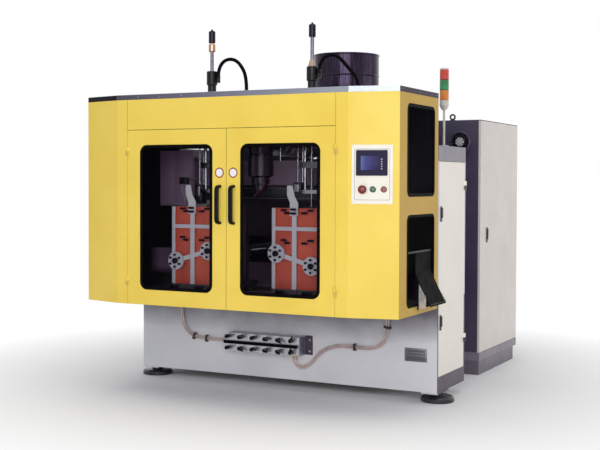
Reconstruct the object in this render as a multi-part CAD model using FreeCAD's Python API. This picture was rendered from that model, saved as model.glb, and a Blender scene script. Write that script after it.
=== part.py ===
import FreeCAD, Part
import math
import os

# Double-station extrusion blow moulding machine, in millimetres.
# x runs across the machine (0 on its centre plane), y runs back from the flat front of the hood,
# z runs up from the floor. The finished model is set on the bottom centre of its own box at the end.

V = FreeCAD.Vector
BACK = V(0, 1, 0)
FRONT = V(0, -1, 0)
RIGHT = V(1, 0, 0)
LEFT = V(-1, 0, 0)
UP = V(0, 0, 1)

# machine frame
base_half_width = 1205.0
base_front = 761.0
base_depth = 554.0
base_bottom = 76.0
table_top = 705.0
table_thickness = 45.0
table_front = 110.0
frame_plate = 8.0
column_width = 300.0
column_top = 1754.0
column_cap = 105.0
column_door_low = 182.0
column_rim = 16.0
column_door_depth = 20.0
column_stop = 12.0
column_hinge_rise = 211.0
column_hinge_drop = 166.0
column_latch_rise = 370.0
column_latch_drop = 359.0
beam_setback = 89.0
beam_depth = 150.0
beam_drop = 120.0
beam_height = 180.0
beam_wall = 10.0
guard_setback = 15.0
pad_radius = 115.0
pad_inset = 45.0
pad_setback = 129.0
rear_pad_inset = 80.0
rear_pad_setback = 120.0
foot_plate = 12.0
foot_half_width = 60.0
under_rim = 150.0

# guard hood
hood_inset = 3.0
hood_chamfer_width = 315.0
hood_chamfer_setback = 80.0
hood_drop = 52.0
hood_top = 2103.0
roof_band = 35.0
sheet = 3.0
hood_flange = 28.0
portal_margin = 35.0
portal_drop = 30.0
table_gap = 5.0

# hood doors and their windows
door_margin = 87.0
header_height = 243.0
door_depth = 25.0
door_gap = 3.0
door_sheet = 2.5
door_stop = 15.0
window_inner = 107.0
window_margin = 106.0
window_border = 105.0
window_radius = 55.0
seal_lip = 8.0
seal_core = 10.0
seal_proud = 3.0
seal_cover = 5.0
pane_thickness = 4.0
handle_x = 53.0
handle_rise = 566.0
handle_length = 266.0
handle_reach = 45.0
handle_width = 30.0
handle_bar = 16.0
hinge_rise = 160.0
hinge_drop = 147.0
hinge_height = 62.0
hinge_pin = 4.0
hinge_knuckle = 7.0
hinge_stand = 8.0
hinge_leaf = 16.0
running = 0.06
clearance = 0.3

# side windows and product outlet
side_window_front = 203.0
side_window_back = 693.0
side_window_radius = 45.0
lower_window_rise = 52.0
lower_window_height = 593.0
window_spacing = 126.0
upper_window_drop = 63.0
outlet_width = 290.0
outlet_offset = 22.0
outlet_reach = 96.0
outlet_depth = 200.0
outlet_slope = 0.255
sill_rise = 17.0
gusset_height = 60.0
curtain_rise = 345.0
curtain_hang = 150.0
curtain_flap = 198.0
curtain_thickness = 4.0
curtain_bar = 12.0

# operator panel on the right front chamfer; along is measured from the chamfer's front crease
plate_from = 24.0
plate_to = 283.0
plate_low = 1369.0
plate_high = 1738.0
panel_thickness = 4.0
bezel_from = 52.0
bezel_to = 250.0
bezel_low = 1545.0
bezel_high = 1704.0
bezel_thickness = 9.0
screen_from = 80.0
screen_to = 200.0
screen_height = 89.0
key_along = 214.0
key_count = 5
key_pitch = 18.0
collar_height = 5.0
collar_wall = 5.5
button_places = ((93.0, 1459.0, 11.0), (158.0, 1460.0, 9.5), (227.0, 1460.0, 9.5))
button_tail = 22.0
button_proud = 3.0
stop_radius = 24.0

# mould stations
station_x = 400.0
mould_line_y = 463.0
opening_stroke = 90.0
platen_half_width = 169.0
platen_rise = 10.0
platen_over_mould = 90.0
platen_thickness = 46.0
rib_proud = 14.0
rib_width = 26.0
bar_drop = 150.0
slot_length = 42.0
slot_height = 14.0
mould_half_width = 105.0
mould_half_depth = 195.0
mould_rise = 23.0
mould_height = 440.0
bottle_half_width = 45.0
bottle_bevel = 10.0
bottle_rise = 80.0
bottle_height = 250.0
neck_depth = 50.0
tie_offset = 132.0
tie_rise = 188.0
tie_slant = 76.0
tie_radius = 20.0
tie_flange = 62.0
flange_screws = 6
foot_reach = 170.0
foot_margin = 20.0
bracket_half_width = 30.0
bracket_thickness = 6.0
rail_spread = 225.0
rail_offset = 92.0
rail_width = 24.0
rail_height = 30.0
rail_half_length = 580.0
carriage_half_width = 160.0
carriage_rise = 37.0
carriage_thickness = 35.0
shoe_half_depth = 35.0
clamp_radius = 55.0
clamp_length = 220.0
clamp_rod = 25.0
yoke_thickness = 40.0

# blow pin units; the cylinders stand in the roof of the hood
blow_stroke = 135.0
cylinder_radius = 38.0
cylinder_neck = 30.0
cylinder_sink = 43.0
step_rise = 92.0
cylinder_rise = 187.0
rod_radius = 12.5
rod_rise = 485.0
knob_radius = 24.0
pin_radius = 11.0
pin_lift = 10.0
guide_lift = 210.0
crosshead_lift = 150.0
crosshead_height = 40.0
guide_spread = 50.0
guide_radius = 10.0
guide_plate = 25.0
guide_half_depth = 35.0
shelf_thickness = 25.0
frame_half_width = 75.0
upright_setback = 61.0
upright_thickness = 12.0
arm_half_width = 50.0
arm_margin = 20.0
brace_height = 235.0
brace_reach = 140.0
hose_start = 52.0
top_hose_spans = (285.0, 345.0)
# points of the left and the right top hose, each measured from its union on the cylinder
top_hose_routes = (((0.0, 65.0), (54.0, 130.0), (144.0, 128.0), (212.0, 50.0), (233.0, -37.0)),
                   ((0.0, 56.0), (50.0, 122.0), (134.0, 122.0), (218.0, 32.0), (293.0, -50.0)))
top_hose_radius = 12.5
gland_height = 20.0
gland_radius = 20.0
union_radius = 15.0

# die head and extruder
head_radius = 90.0
head_over = 100.0
head_length = 440.0
neck_radius = 50.0
neck_reach = 223.0
barrel_height = 1780.0
barrel_length = 1100.0
barrel_radius = 65.0
heater_radius = 90.0
heater_length = 200.0
heater_pitch = 240.0
flight_radius = 34.0
flight_pitch = 46.0
flight_count = 4
throat_half = 85.0
throat_half_width = 110.0
throat_drop = 90.0
throat_rise = 150.0
feed_radius = 45.0
cone_rise = 220.0
drum_radius = 264.0
drum_height = 377.0
drum_wall = 3.0
drum_seam = 170.0
drum_bead = 4.0
deck_drop = 430.0
extruder_half_width = 330.0
step_height = 1000.0
gear_gap = 8.0
gear_half_width = 165.0
gear_length = 320.0
gear_rise = 140.0
motor_radius = 130.0
motor_rise = 190.0
motor_length = 380.0
motor_fins = 7
tail_room = 56.0

# electrical cabinet
cabinet_inset = 112.0
cabinet_width = 500.0
cabinet_front = 2001.0
cabinet_back = 3000.0
cabinet_low = 110.0
cabinet_high = 1992.0
cabinet_wall = 4.0
cabinet_rim = 45.0
cabinet_door_low = 175.0
cabinet_door_depth = 20.0
door_air = 2.0
plinth_setback = 75.0
fan_inset = 152.0
fan_drop = 172.0
fan_radius = 80.0
fan_shaft = 5.0
fan_blades = 7
pivot_radius = 3.5
pivot_inset = 5.0
pivot_length = 25.0

# signal lamp
lamp_inset = 65.0
lamp_setback = 279.0
lamp_pole = 261.0
lamp_cup = 60.0
lamp_radius = 32.0
lens_height = 71.0
lens_count = 3

# water manifold on the base front
manifold_left = -399.0
manifold_right = 205.0
manifold_depth = 100.0
manifold_low = 268.0
manifold_high = 399.0
manifold_plate = 8.0
plate_margin = 58.0
valve_pitch = 105.0
valve_turns = (-20, 15, -35, 20, 35, -60)
inlet_radius = 12.0

# clear water hoses on the base front, as x and z places; each route carries a pair of hoses
hose_radius = 6.5
hose_pitch = 7.5
left_hose_route = ((-845, 520), (-820, 400), (-730, 335), (-570, 327))
right_hose_route = ((120, 210), (175, 165), (255, 205), (330, 300), (450, 350), (600, 352), (740, 345),
                    (830, 400), (850, 530))
left_hose_port = 327.0
right_hose_port = 120.0
hose_ends = (-845.0, 850.0)
hose_clip_places = ((-727.6, 341.3, -19), (-620, 329.5, -3), (600, 351, 0), (846, 505, 81))
clip_width = 18.0
clip_room = 2.5

# sizes that follow from the ones above
hood_half_width = base_half_width - hood_inset
hood_flat_half = hood_half_width - hood_chamfer_width
hood_depth = base_front
hood_bottom = table_top - hood_drop
roof_low = hood_top - roof_band
chamfer_angle = math.atan2(hood_chamfer_setback, hood_chamfer_width)
door_half_opening = hood_flat_half - door_margin
door_top = hood_top - header_height
window_outer = door_half_opening - window_margin
window_low = hood_bottom + window_border
window_high = door_top - window_border
handle_low = hood_bottom + handle_rise
handle_high = handle_low + handle_length
hinge_heights = (hood_bottom + hinge_rise, door_top - hinge_drop)
lower_window_low = hood_bottom + lower_window_rise
lower_window = (lower_window_low, lower_window_low + lower_window_height)
upper_window = (lower_window[1] + window_spacing, roof_low - upper_window_drop)
outlet_back = side_window_back - outlet_offset
outlet_front = outlet_back - outlet_width
curtain_top = lower_window_low + curtain_rise
curtain_bend = curtain_top - curtain_hang
curtain_tip = curtain_bend - curtain_flap
base_back = base_front + base_depth
column_inner = base_half_width - column_width
column_door_high = column_top - column_cap
column_hinges = (column_door_low + column_hinge_rise, column_door_high - column_hinge_drop)
column_latches = (column_door_low + column_latch_rise, column_door_high - column_latch_drop)
portal_half = column_inner - portal_margin
table_half_width = portal_half - table_gap
pad_x = base_half_width - pad_inset
pad_y = base_front + pad_setback
carriage_low = table_top + carriage_rise
deck_top = carriage_low + carriage_thickness
mould_low = deck_top + mould_rise
mould_high = mould_low + mould_height
bottle_low = mould_low + bottle_rise
bottle_shoulder = bottle_low + bottle_height
bottle_neck_low = mould_high - neck_depth
platen_low = table_top + platen_rise
platen_high = mould_high + platen_over_mould
platen_back = mould_line_y - mould_half_depth
platen_face = platen_back - platen_thickness
tie_middle = mould_low + tie_rise
tie_high = tie_middle + tie_slant / 2
tie_low = tie_middle - tie_slant / 2
rail_front = mould_line_y + rail_offset - rail_spread
rail_back = mould_line_y + rail_offset + rail_spread
pin_tip = mould_high + pin_lift
guide_low = mould_high + guide_lift
crosshead_low = guide_low + crosshead_lift
cylinder_low = hood_top - cylinder_sink
cylinder_step = hood_top + step_rise
cylinder_high = hood_top + cylinder_rise
rod_top = hood_top + rod_rise
knob_low = cylinder_high + blow_stroke + 64
gland_places = (-station_x + top_hose_spans[0], station_x + top_hose_spans[1])
upright_front = hood_depth - upright_setback
upright_back = upright_front + upright_thickness
beam_front = base_front + beam_setback
beam_high = barrel_height - beam_drop
beam_low = beam_high - beam_height
portal_top = barrel_height - portal_drop
head_high = barrel_height + head_over
head_low = head_high - head_length
barrel_start = mould_line_y + neck_reach
throat_y = barrel_start + barrel_length + throat_half
barrel_end = throat_y + throat_half
throat_top = barrel_height + throat_rise
drum_low = throat_top + cone_rise
drum_top = drum_low + drum_height
extruder_deck = barrel_height - deck_drop
gear_front = barrel_end + gear_gap
motor_front = gear_front + gear_length
extruder_back = motor_front + motor_length + tail_room
rear_pad_x = extruder_half_width - rear_pad_inset
rear_pad_y = extruder_back - rear_pad_setback
cabinet_right = base_half_width - cabinet_inset
cabinet_left = cabinet_right - cabinet_width
plinth_back = cabinet_back - plinth_setback
fan_x = cabinet_right - fan_inset
fan_z = cabinet_high - fan_drop
lamp_x = base_half_width - lamp_inset
lamp_y = base_front + lamp_setback
lamp_foot = column_top + lamp_pole

nodes = {}


def block(x0, x1, y0, y1, z0, z1):
    return Part.makeBox(x1 - x0, y1 - y0, z1 - z0, V(x0, y0, z0))


def rod(at, way, length, radius):
    return Part.makeCylinder(radius, length, at, way)


def fused(shapes):
    return shapes[0].multiFuse(shapes[1:]).removeSplitter()


def prism(points, push):
    return Part.Face(Part.makePolygon(points + points[:1])).extrude(push)


def turned(profile, at, way=UP):
    # profile holds radius and height pairs, turned about way through the point at
    points = [V(radius, 0, height) for radius, height in profile]
    shape = Part.Face(Part.makePolygon(points + points[:1])).revolve(V(0, 0, 0), UP, 360)
    shape.Placement = FreeCAD.Placement(at, FreeCAD.Rotation(UP, way))
    return shape


def rounded_plate(middle, along, rise, width, height, radius, push):
    # flat plate with four round corners; along and rise are unit directions
    half_w = width / 2
    half_h = height / 2
    bulge = radius * (1 - math.sqrt(0.5))

    def at(a, b):
        return middle + along * a + rise * b

    edges = []
    start = None
    for su, sv in ((1, 1), (-1, 1), (-1, -1), (1, -1)):
        side = at(su * half_w, sv * (half_h - radius))
        end = at(su * (half_w - radius), sv * half_h)
        crown = at(su * (half_w - bulge), sv * (half_h - bulge))
        first, last = (side, end) if su == sv else (end, side)
        if edges:
            edges.append(Part.LineSegment(previous, first).toShape())
        else:
            start = first
        edges.append(Part.Arc(first, crown, last).toShape())
        previous = last
    edges.append(Part.LineSegment(previous, start).toShape())
    return Part.Face(Part.Wire(edges)).extrude(push)


def mirrored(shape):
    return shape.mirror(V(0, 0, 0), RIGHT)


def column_room(low, high):
    # compartment in the right end of the frame, with a stop frame round the inset door
    front = base_front + column_rim
    back = base_back - column_rim
    face = base_half_width - column_door_depth
    room = block(column_inner + frame_plate, face + 1, front + column_stop, back - column_stop, low, high)
    recess = block(face, base_half_width + 1, front, back, low - column_stop, high + column_stop)
    return room.fuse(recess)


def build_frame():
    base = block(-base_half_width, base_half_width, base_front, base_back, base_bottom, table_top)
    table = block(-table_half_width, table_half_width, table_front, base_front,
                  table_top - table_thickness, table_top)
    feet = []
    for side in (-1, 1):
        inner = side * (pad_x - 1.25 * foot_half_width)
        outer = side * (pad_x + 0.75 * foot_half_width)
        feet.append(block(min(inner, outer), max(inner, outer), pad_y - pad_radius, pad_y + pad_radius - 15,
                          base_bottom - foot_plate, base_bottom))
    room = column_room(column_door_low + column_stop, table_top)
    inside = block(-base_half_width + frame_plate, column_inner, base_front + frame_plate,
                   base_back - frame_plate, base_bottom + frame_plate, table_top - frame_plate)
    below = block(-base_half_width + under_rim, column_inner - under_rim, base_front + under_rim,
                  base_back - under_rim, base_bottom - 1, table_top - frame_plate)
    nodes["base_frame"] = fused([base, table] + feet).cut(inside).cut(below).cut(room)

    right = block(column_inner, base_half_width, base_front, base_back, table_top, column_top)
    nodes["right_column"] = right.cut(column_room(table_top - column_stop - 1, column_door_high - column_stop))
    left = block(-base_half_width, -column_inner, base_front, base_back, table_top, column_top)
    inner = block(-base_half_width + frame_plate, -column_inner - frame_plate, base_front + frame_plate,
                  base_back - frame_plate, table_top - 1, column_top - frame_plate)
    nodes["left_column"] = left.cut(inner)

    beam = block(-column_inner, column_inner, beam_front, beam_front + beam_depth, beam_low, beam_high)
    hollow = block(-column_inner - 1, column_inner + 1, beam_front + beam_wall,
                   beam_front + beam_depth - beam_wall, beam_low + beam_wall, beam_high - beam_wall)
    nodes["cross_beam"] = beam.cut(hollow)

    guard_y = base_back - guard_setback
    guard = block(-column_inner, column_inner, guard_y, guard_y + sheet, table_top, barrel_height)
    notch = rod(V(0, guard_y - 1, barrel_height), BACK, sheet + 2, heater_radius + 10)
    nodes["rear_guard"] = guard.cut(notch)

    pads = []
    for x, y, top in ((pad_x, pad_y, base_bottom - foot_plate), (-pad_x, pad_y, base_bottom - foot_plate),
                      (rear_pad_x, rear_pad_y, base_bottom), (-rear_pad_x, rear_pad_y, base_bottom)):
        profile = [(0, 0), (pad_radius - 4, 0), (pad_radius, 4), (pad_radius, 26), (pad_radius - 12, 38),
                   (45, 42), (45, 50), (24, 50), (24, top), (0, top)]
        pads.append(turned(profile, V(x, y, 0)))
    nodes["levelling_pads"] = Part.makeCompound(pads)


def build_column_door():
    low = column_door_low
    high = column_door_high
    front = base_front + column_rim + door_gap
    back = base_back - column_rim - door_gap
    face = base_half_width
    panel = block(face - column_door_depth + clearance, face, front, back, low + door_gap, high - door_gap)
    hollow = block(face - column_door_depth - 1, face - door_sheet, front + door_sheet, back - door_sheet,
                   low + door_gap + door_sheet, high - door_gap - door_sheet)
    leaves = []
    pins = []
    pin_x = face + hinge_stand
    for z in column_hinges:
        leaves.append(hinge_half(V(pin_x, back + door_gap / 2, z), FRONT, RIGHT, True))
        pins.append(hinge_half(V(pin_x, back + door_gap / 2, z), BACK, RIGHT, False))
    latches = []
    for z in column_latches:
        latches.append(rounded_plate(V(face - 1, front + 28, z), BACK, UP, 22, 105, 8, V(9, 0, 0)))
        latches.append(rounded_plate(V(face + 7, front + 28, z + 8), BACK, UP, 12, 70, 5, V(9, 0, 0)))
    nodes["column_door"] = fused([panel.cut(hollow)] + leaves + latches)
    return pins


def hinge_half(axis_point, leaf_way, outward, moving):
    # half of a butt hinge on an upright pin: leaf_way runs from the pin along the panel's face
    half = hinge_height / 2
    low = axis_point.z + (clearance if moving else -half)
    height = half - clearance if moving else half
    knuckle = rod(V(axis_point.x, axis_point.y, low), UP, height, hinge_knuckle)
    root = V(axis_point.x, axis_point.y, low) - outward * hinge_stand
    leaf_start = root + leaf_way * 0.2
    leaf = prism([leaf_start, leaf_start + leaf_way * hinge_leaf,
                  leaf_start + leaf_way * hinge_leaf + outward * 2.5,
                  leaf_start + leaf_way * 5 + outward * (hinge_stand + 2),
                  leaf_start + outward * (hinge_stand + 2)], UP * height)
    half_hinge = knuckle.fuse(leaf)
    if moving:
        bore = rod(V(axis_point.x, axis_point.y, low - 1), UP, height + 2, hinge_pin + running)
        return half_hinge.cut(bore)
    pin = rod(V(axis_point.x, axis_point.y, low), UP, hinge_height, hinge_pin)
    return half_hinge.fuse(pin)


def hood_outline(inset, rear):
    # plan of the hood, drawn in by inset everywhere but at its open rear
    front_turn = math.tan(chamfer_angle / 2)
    side_turn = math.tan((math.pi / 2 - chamfer_angle) / 2)
    side = hood_half_width - inset
    corner = hood_chamfer_setback + inset * side_turn
    flat = hood_flat_half - inset * front_turn
    half = [V(flat, inset, 0), V(side, corner, 0), V(side, rear, 0)]
    return [V(-p.x, p.y, 0) for p in reversed(half)] + half


def hood_layer(inset, rear, low, high):
    return prism([p + UP * low for p in hood_outline(inset, rear)], UP * (high - low))


def on_chamfer(along, height, out):
    # point on the right front chamfer: along from its front crease, out from its face
    cos_a = math.cos(chamfer_angle)
    sin_a = math.sin(chamfer_angle)
    return V(hood_flat_half + along * cos_a + out * sin_a, along * sin_a - out * cos_a, height)


chamfer_along = V(math.cos(chamfer_angle), math.sin(chamfer_angle), 0)
chamfer_out = V(math.sin(chamfer_angle), -math.cos(chamfer_angle), 0)


def window_parts(middle, along, rise, width, height, radius, inward, wall, glazed=True):
    # hole in the wall, rubber seal of H section and the pane inside it
    core = 2 * (seal_lip + seal_core)

    def plate(shrink, start, depth):
        return rounded_plate(middle + inward * start, along, rise, width - shrink, height - shrink,
                             radius - shrink / 2, inward * depth)

    hole = plate(2 * seal_lip, -1, wall + 2)
    cover = core + 2 * seal_cover if glazed else core
    front_lip = plate(0, -seal_proud, seal_proud).cut(plate(cover, -seal_proud - 1, seal_proud + 2))
    body = plate(2 * seal_lip, 0, 8).cut(plate(core, -1, 10))
    back_lip = plate(0, wall, 3).cut(plate(core, wall - 1, 5))
    pane = plate(core, 0, pane_thickness)
    return hole, fused([front_lip, body, back_lip]), pane


def side_window(low, high, glazed):
    middle = V(hood_half_width, (side_window_front + side_window_back) / 2, (low + high) / 2)
    return window_parts(middle, BACK, UP, side_window_back - side_window_front, high - low,
                        side_window_radius, LEFT, sheet, glazed)


def build_hood():
    # flat and folded sheets that meet edge to edge, each one a panel of its own
    wide = hood_half_width + 1
    inner = hood_half_width - sheet
    rear_face = hood_depth - sheet
    opening = block(-door_half_opening, door_half_opening, -1, hood_flange + 1, 0, door_top)
    walls = hood_layer(0, rear_face, hood_bottom, roof_low)
    walls = walls.cut(hood_layer(sheet, hood_depth, hood_bottom - 1, roof_low + 1)).cut(opening)
    upper_hole, upper_seal, upper_pane = side_window(upper_window[0], upper_window[1], True)
    lower_hole, lower_seal, lower_pane = side_window(lower_window[0], lower_window[1], False)
    walls = walls.cut(upper_hole).cut(lower_hole)
    for along, height, radius in button_places:
        walls = walls.cut(rod(on_chamfer(along, height, -2 * sheet), chamfer_out, 3 * sheet, radius + 3))
    flange = hood_layer(sheet, rear_face, hood_bottom, hood_bottom + sheet)
    flange = flange.cut(hood_layer(hood_flange, hood_depth, hood_bottom - 1, roof_low)).cut(opening)
    rear = block(-hood_half_width, hood_half_width, rear_face, hood_depth, hood_bottom, roof_low)
    rear = rear.cut(block(-portal_half, portal_half, 0, hood_depth + 1, 0, portal_top))
    rear = rear.cut(rod(V(0, 0, barrel_height), BACK, hood_depth + 1, heater_radius + 10))

    sheets = []
    edges = (-wide, -inner, -door_half_opening, door_half_opening, inner, wide)
    for low, high in zip(edges, edges[1:]):
        sheets += walls.common(block(low, high, -1, hood_depth, 0, hood_top)).Solids
    corner = hood_chamfer_setback + hood_flange
    for low, high in ((-1, corner), (corner, hood_depth)):
        sheets += flange.common(block(-wide, wide, low, high, 0, hood_top)).Solids
    edges = (-wide, -portal_half, portal_half, wide)
    for low, high in zip(edges, edges[1:]):
        sheets += rear.common(block(low, high, 0, hood_depth, 0, hood_top)).Solids

    jamb_depth = door_depth + 5
    half = door_half_opening
    lintel = block(-half, half, sheet, jamb_depth, door_top, door_top + sheet)
    stop = block(-half, half, jamb_depth, jamb_depth + sheet, door_top - door_stop, door_top + sheet)
    sheets.append(lintel.fuse(stop).removeSplitter())
    jamb = block(half, half + sheet, sheet, jamb_depth, hood_bottom + sheet, door_top + sheet)
    stop = block(half - door_stop, half, jamb_depth, jamb_depth + sheet, hood_bottom + sheet,
                 door_top - door_stop)
    fold = block(half, half + sheet, jamb_depth, jamb_depth + sheet, hood_bottom + sheet, door_top + sheet)
    jamb = fused([jamb, fold, stop])
    sheets += [jamb, mirrored(jamb)]

    standoff = seal_proud + curtain_thickness
    bar_front = side_window_front - 20
    bar_back = side_window_back + 20
    rail = [block(inner - standoff - curtain_bar, inner - standoff, bar_front, bar_back,
                  curtain_top, curtain_top + curtain_bar)]
    for y in (bar_front, bar_back - 15):
        rail.append(block(inner - standoff - curtain_bar, inner, y, y + 15, curtain_top, curtain_top + curtain_bar))
    sheets.append(fused(rail))
    nodes["hood_shell"] = Part.makeCompound(sheets)
    nodes["side_seals"] = Part.makeCompound([upper_seal, lower_seal])
    nodes["side_pane"] = upper_pane

    roof = hood_layer(0, hood_depth, roof_low, hood_top)
    roof = roof.cut(hood_layer(sheet, hood_depth - sheet, roof_low - 1, hood_top - sheet))
    for side in (-1, 1):
        roof = roof.cut(rod(V(side * station_x, mould_line_y, roof_low), UP, 2 * roof_band, cylinder_neck + 2))
    glands = [rod(V(x, mould_line_y, hood_top), UP, gland_height, gland_radius) for x in gland_places]
    nodes["hood_roof"] = fused([roof] + glands)

    hinges = []
    for z in hinge_heights:
        for side in (-1, 1):
            axis = V(side * door_half_opening, -hinge_stand, z)
            hinges.append(hinge_half(axis, V(side, 0, 0), FRONT, False))
    return hinges


def build_outlet():
    # sheet tray that slopes out of the lower side window, with a rubber curtain hung over it
    reach = hood_half_width + outlet_reach
    hang = hood_half_width - sheet - seal_proud - curtain_thickness
    down = V(reach - hang, 0, curtain_tip - curtain_bend)
    down.normalize()
    side = V(-down.z, 0, down.x) * curtain_thickness
    bend = V(hang - curtain_thickness, 0, curtain_bend)
    tip = V(reach, 0, curtain_tip)
    knee = V(hang, 0, curtain_bend + curtain_thickness / 2)
    profile = [V(hang - curtain_thickness, 0, curtain_top), bend, tip, tip + side, knee, V(hang, 0, curtain_top)]
    width = BACK * outlet_width
    curtain = prism([p + BACK * outlet_front for p in profile], width)

    inner = hood_half_width - outlet_depth
    sill = lower_window_low + seal_lip + seal_core + sill_rise
    floor_in = V(inner, 0, sill + outlet_depth * outlet_slope)
    floor_out = V(reach, 0, sill - outlet_reach * outlet_slope)
    cheek = [floor_in, floor_out, bend, V(inner, 0, curtain_bend)]
    outer = prism([p + BACK * outlet_front for p in cheek], width)
    trough = prism([p + BACK * (outlet_front + sheet) + UP * sheet for p in cheek],
                   BACK * (outlet_width - 2 * sheet))
    start = hood_half_width + seal_proud + clearance
    under = sill - (start - hood_half_width) * outlet_slope
    gusset = [V(start, 0, under + 1), V(reach, 0, floor_out.z), V(start, 0, under - gusset_height)]
    fins = []
    for y in (outlet_front, outlet_back - sheet):
        fins.append(prism([p + BACK * y for p in gusset], BACK * sheet))
    nodes["chute_tray"] = fused([outer.cut(trough)] + fins).cut(curtain)
    nodes["chute_curtain"] = curtain


def build_doors():
    for name, side in (("left", -1), ("right", 1)):
        near = door_gap / 2
        far = door_half_opening - door_gap / 2
        top = door_top - door_gap
        pan = block(near, far, 0, door_depth, hood_bottom, top)
        hollow = block(near + door_sheet, far - door_sheet, door_sheet, door_depth + 1,
                       hood_bottom + door_sheet, top - door_sheet)
        middle = V((window_inner + window_outer) / 2, 0, (window_low + window_high) / 2)
        hole, seal, pane = window_parts(middle, RIGHT, UP, window_outer - window_inner,
                                        window_high - window_low, window_radius, BACK, door_sheet)
        leaves = [hinge_half(V(door_half_opening, -hinge_stand, z), LEFT, FRONT, True)
                  for z in hinge_heights]
        door = fused([pan.cut(hollow).cut(hole)] + leaves)
        grip = handle_outline(handle_bar + 2, 0).cut(handle_outline(handle_bar - 4, handle_bar))
        for part, shape in (("door", door), ("seal", seal), ("pane", pane), ("handle", grip)):
            nodes[name + "_" + part] = mirrored(shape) if side < 0 else shape


def handle_outline(radius, inset):
    # bow handle seen from the side; its back half is buried and cut off at the door's face
    height = handle_length - 4 * inset
    depth = handle_reach - inset
    side = 1 if inset else 0
    middle = V(handle_x - handle_width / 2 - side, 0, (handle_low + handle_high) / 2)
    bow = rounded_plate(middle, BACK, UP, 2 * depth, height, radius, RIGHT * (handle_width + 2 * side))
    front = block(0, 4 * handle_x, -handle_reach - 1, 0, handle_low - 1, handle_high + 1)
    return bow.common(front)


def build_panel():
    middle = on_chamfer((plate_from + plate_to) / 2, (plate_low + plate_high) / 2, 0)
    plate = rounded_plate(middle, chamfer_along, UP, plate_to - plate_from, plate_high - plate_low, 4,
                          chamfer_out * panel_thickness)
    collars = []
    for along, height, radius in button_places:
        base = on_chamfer(along, height, panel_thickness - 1)
        collars.append(rod(base, chamfer_out, collar_height + 1, radius + collar_wall))
    plate = fused([plate] + collars)
    for along, height, radius in button_places:
        plate = plate.cut(rod(on_chamfer(along, height, -1), chamfer_out, 30, radius + clearance))
    nodes["control_plate"] = plate

    rise = (bezel_low + bezel_high) / 2
    bezel = rounded_plate(on_chamfer((bezel_from + bezel_to) / 2, rise, panel_thickness), chamfer_along, UP,
                          bezel_to - bezel_from, bezel_high - bezel_low, 6, chamfer_out * bezel_thickness)
    recess = rounded_plate(on_chamfer((screen_from + screen_to) / 2, rise, panel_thickness + bezel_thickness - 2),
                           chamfer_along, UP, screen_to - screen_from, screen_height, 2, chamfer_out * 5)
    keys = []
    for number in range(key_count):
        place = on_chamfer(key_along, rise + (number - (key_count - 1) / 2) * key_pitch,
                           panel_thickness + bezel_thickness - 1)
        keys.append(rounded_plate(place, chamfer_along, UP, 15, 11, 2, chamfer_out * 2))
    nodes["display"] = fused([bezel.cut(recess)] + keys)

    for name, place in zip(("stop_button", "start_button", "reset_button"), button_places):
        along, height, radius = place
        top = panel_thickness + collar_height
        profile = [(0, -button_tail), (radius, -button_tail)]
        if name == "stop_button":
            profile += [(radius, top + 8), (stop_radius - 3, top + 8), (stop_radius, top + 11),
                        (stop_radius - 2, top + 17), (stop_radius - 9, top + 21), (0, top + 22)]
        else:
            profile += [(radius, top + button_proud / 2), (radius - 1.5, top + button_proud),
                        (0, top + button_proud)]
        nodes[name] = turned(profile, on_chamfer(along, height, 0), chamfer_out)


def mould_half(x, front, back):
    # half of a mould in three inserts: the base, the body with the square bottle's cavity, and the neck with
    # the round shoulder and the bore that the blow pin enters
    left = x - mould_half_width
    right = x + mould_half_width
    across = bottle_half_width
    bevel = bottle_bevel
    outline = [(-across, -across + bevel), (-across + bevel, -across), (across - bevel, -across),
               (across, -across + bevel), (across, across - bevel), (across - bevel, across),
               (-across + bevel, across), (-across, across - bevel)]
    body = prism([V(x + dx, mould_line_y + dy, bottle_low) for dx, dy in outline], UP * bottle_height)
    profile = [(0, bottle_shoulder), (across, bottle_shoulder), (pin_radius + 8, bottle_neck_low - 15),
               (pin_radius + 0.1, bottle_neck_low), (pin_radius + 0.1, mould_high + 1), (0, mould_high + 1)]
    neck = turned(profile, V(x, mould_line_y, 0))
    return Part.makeCompound([block(left, right, front, back, mould_low, bottle_low),
                              block(left, right, front, back, bottle_low, bottle_shoulder).cut(body),
                              block(left, right, front, back, bottle_shoulder, mould_high).cut(neck)])


def slot_cut(x, z, face, depth):
    return rounded_plate(V(x, face - 1, z), RIGHT, UP, slot_length, slot_height, slot_height / 2 - 0.5,
                         BACK * (depth + 1))


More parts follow.
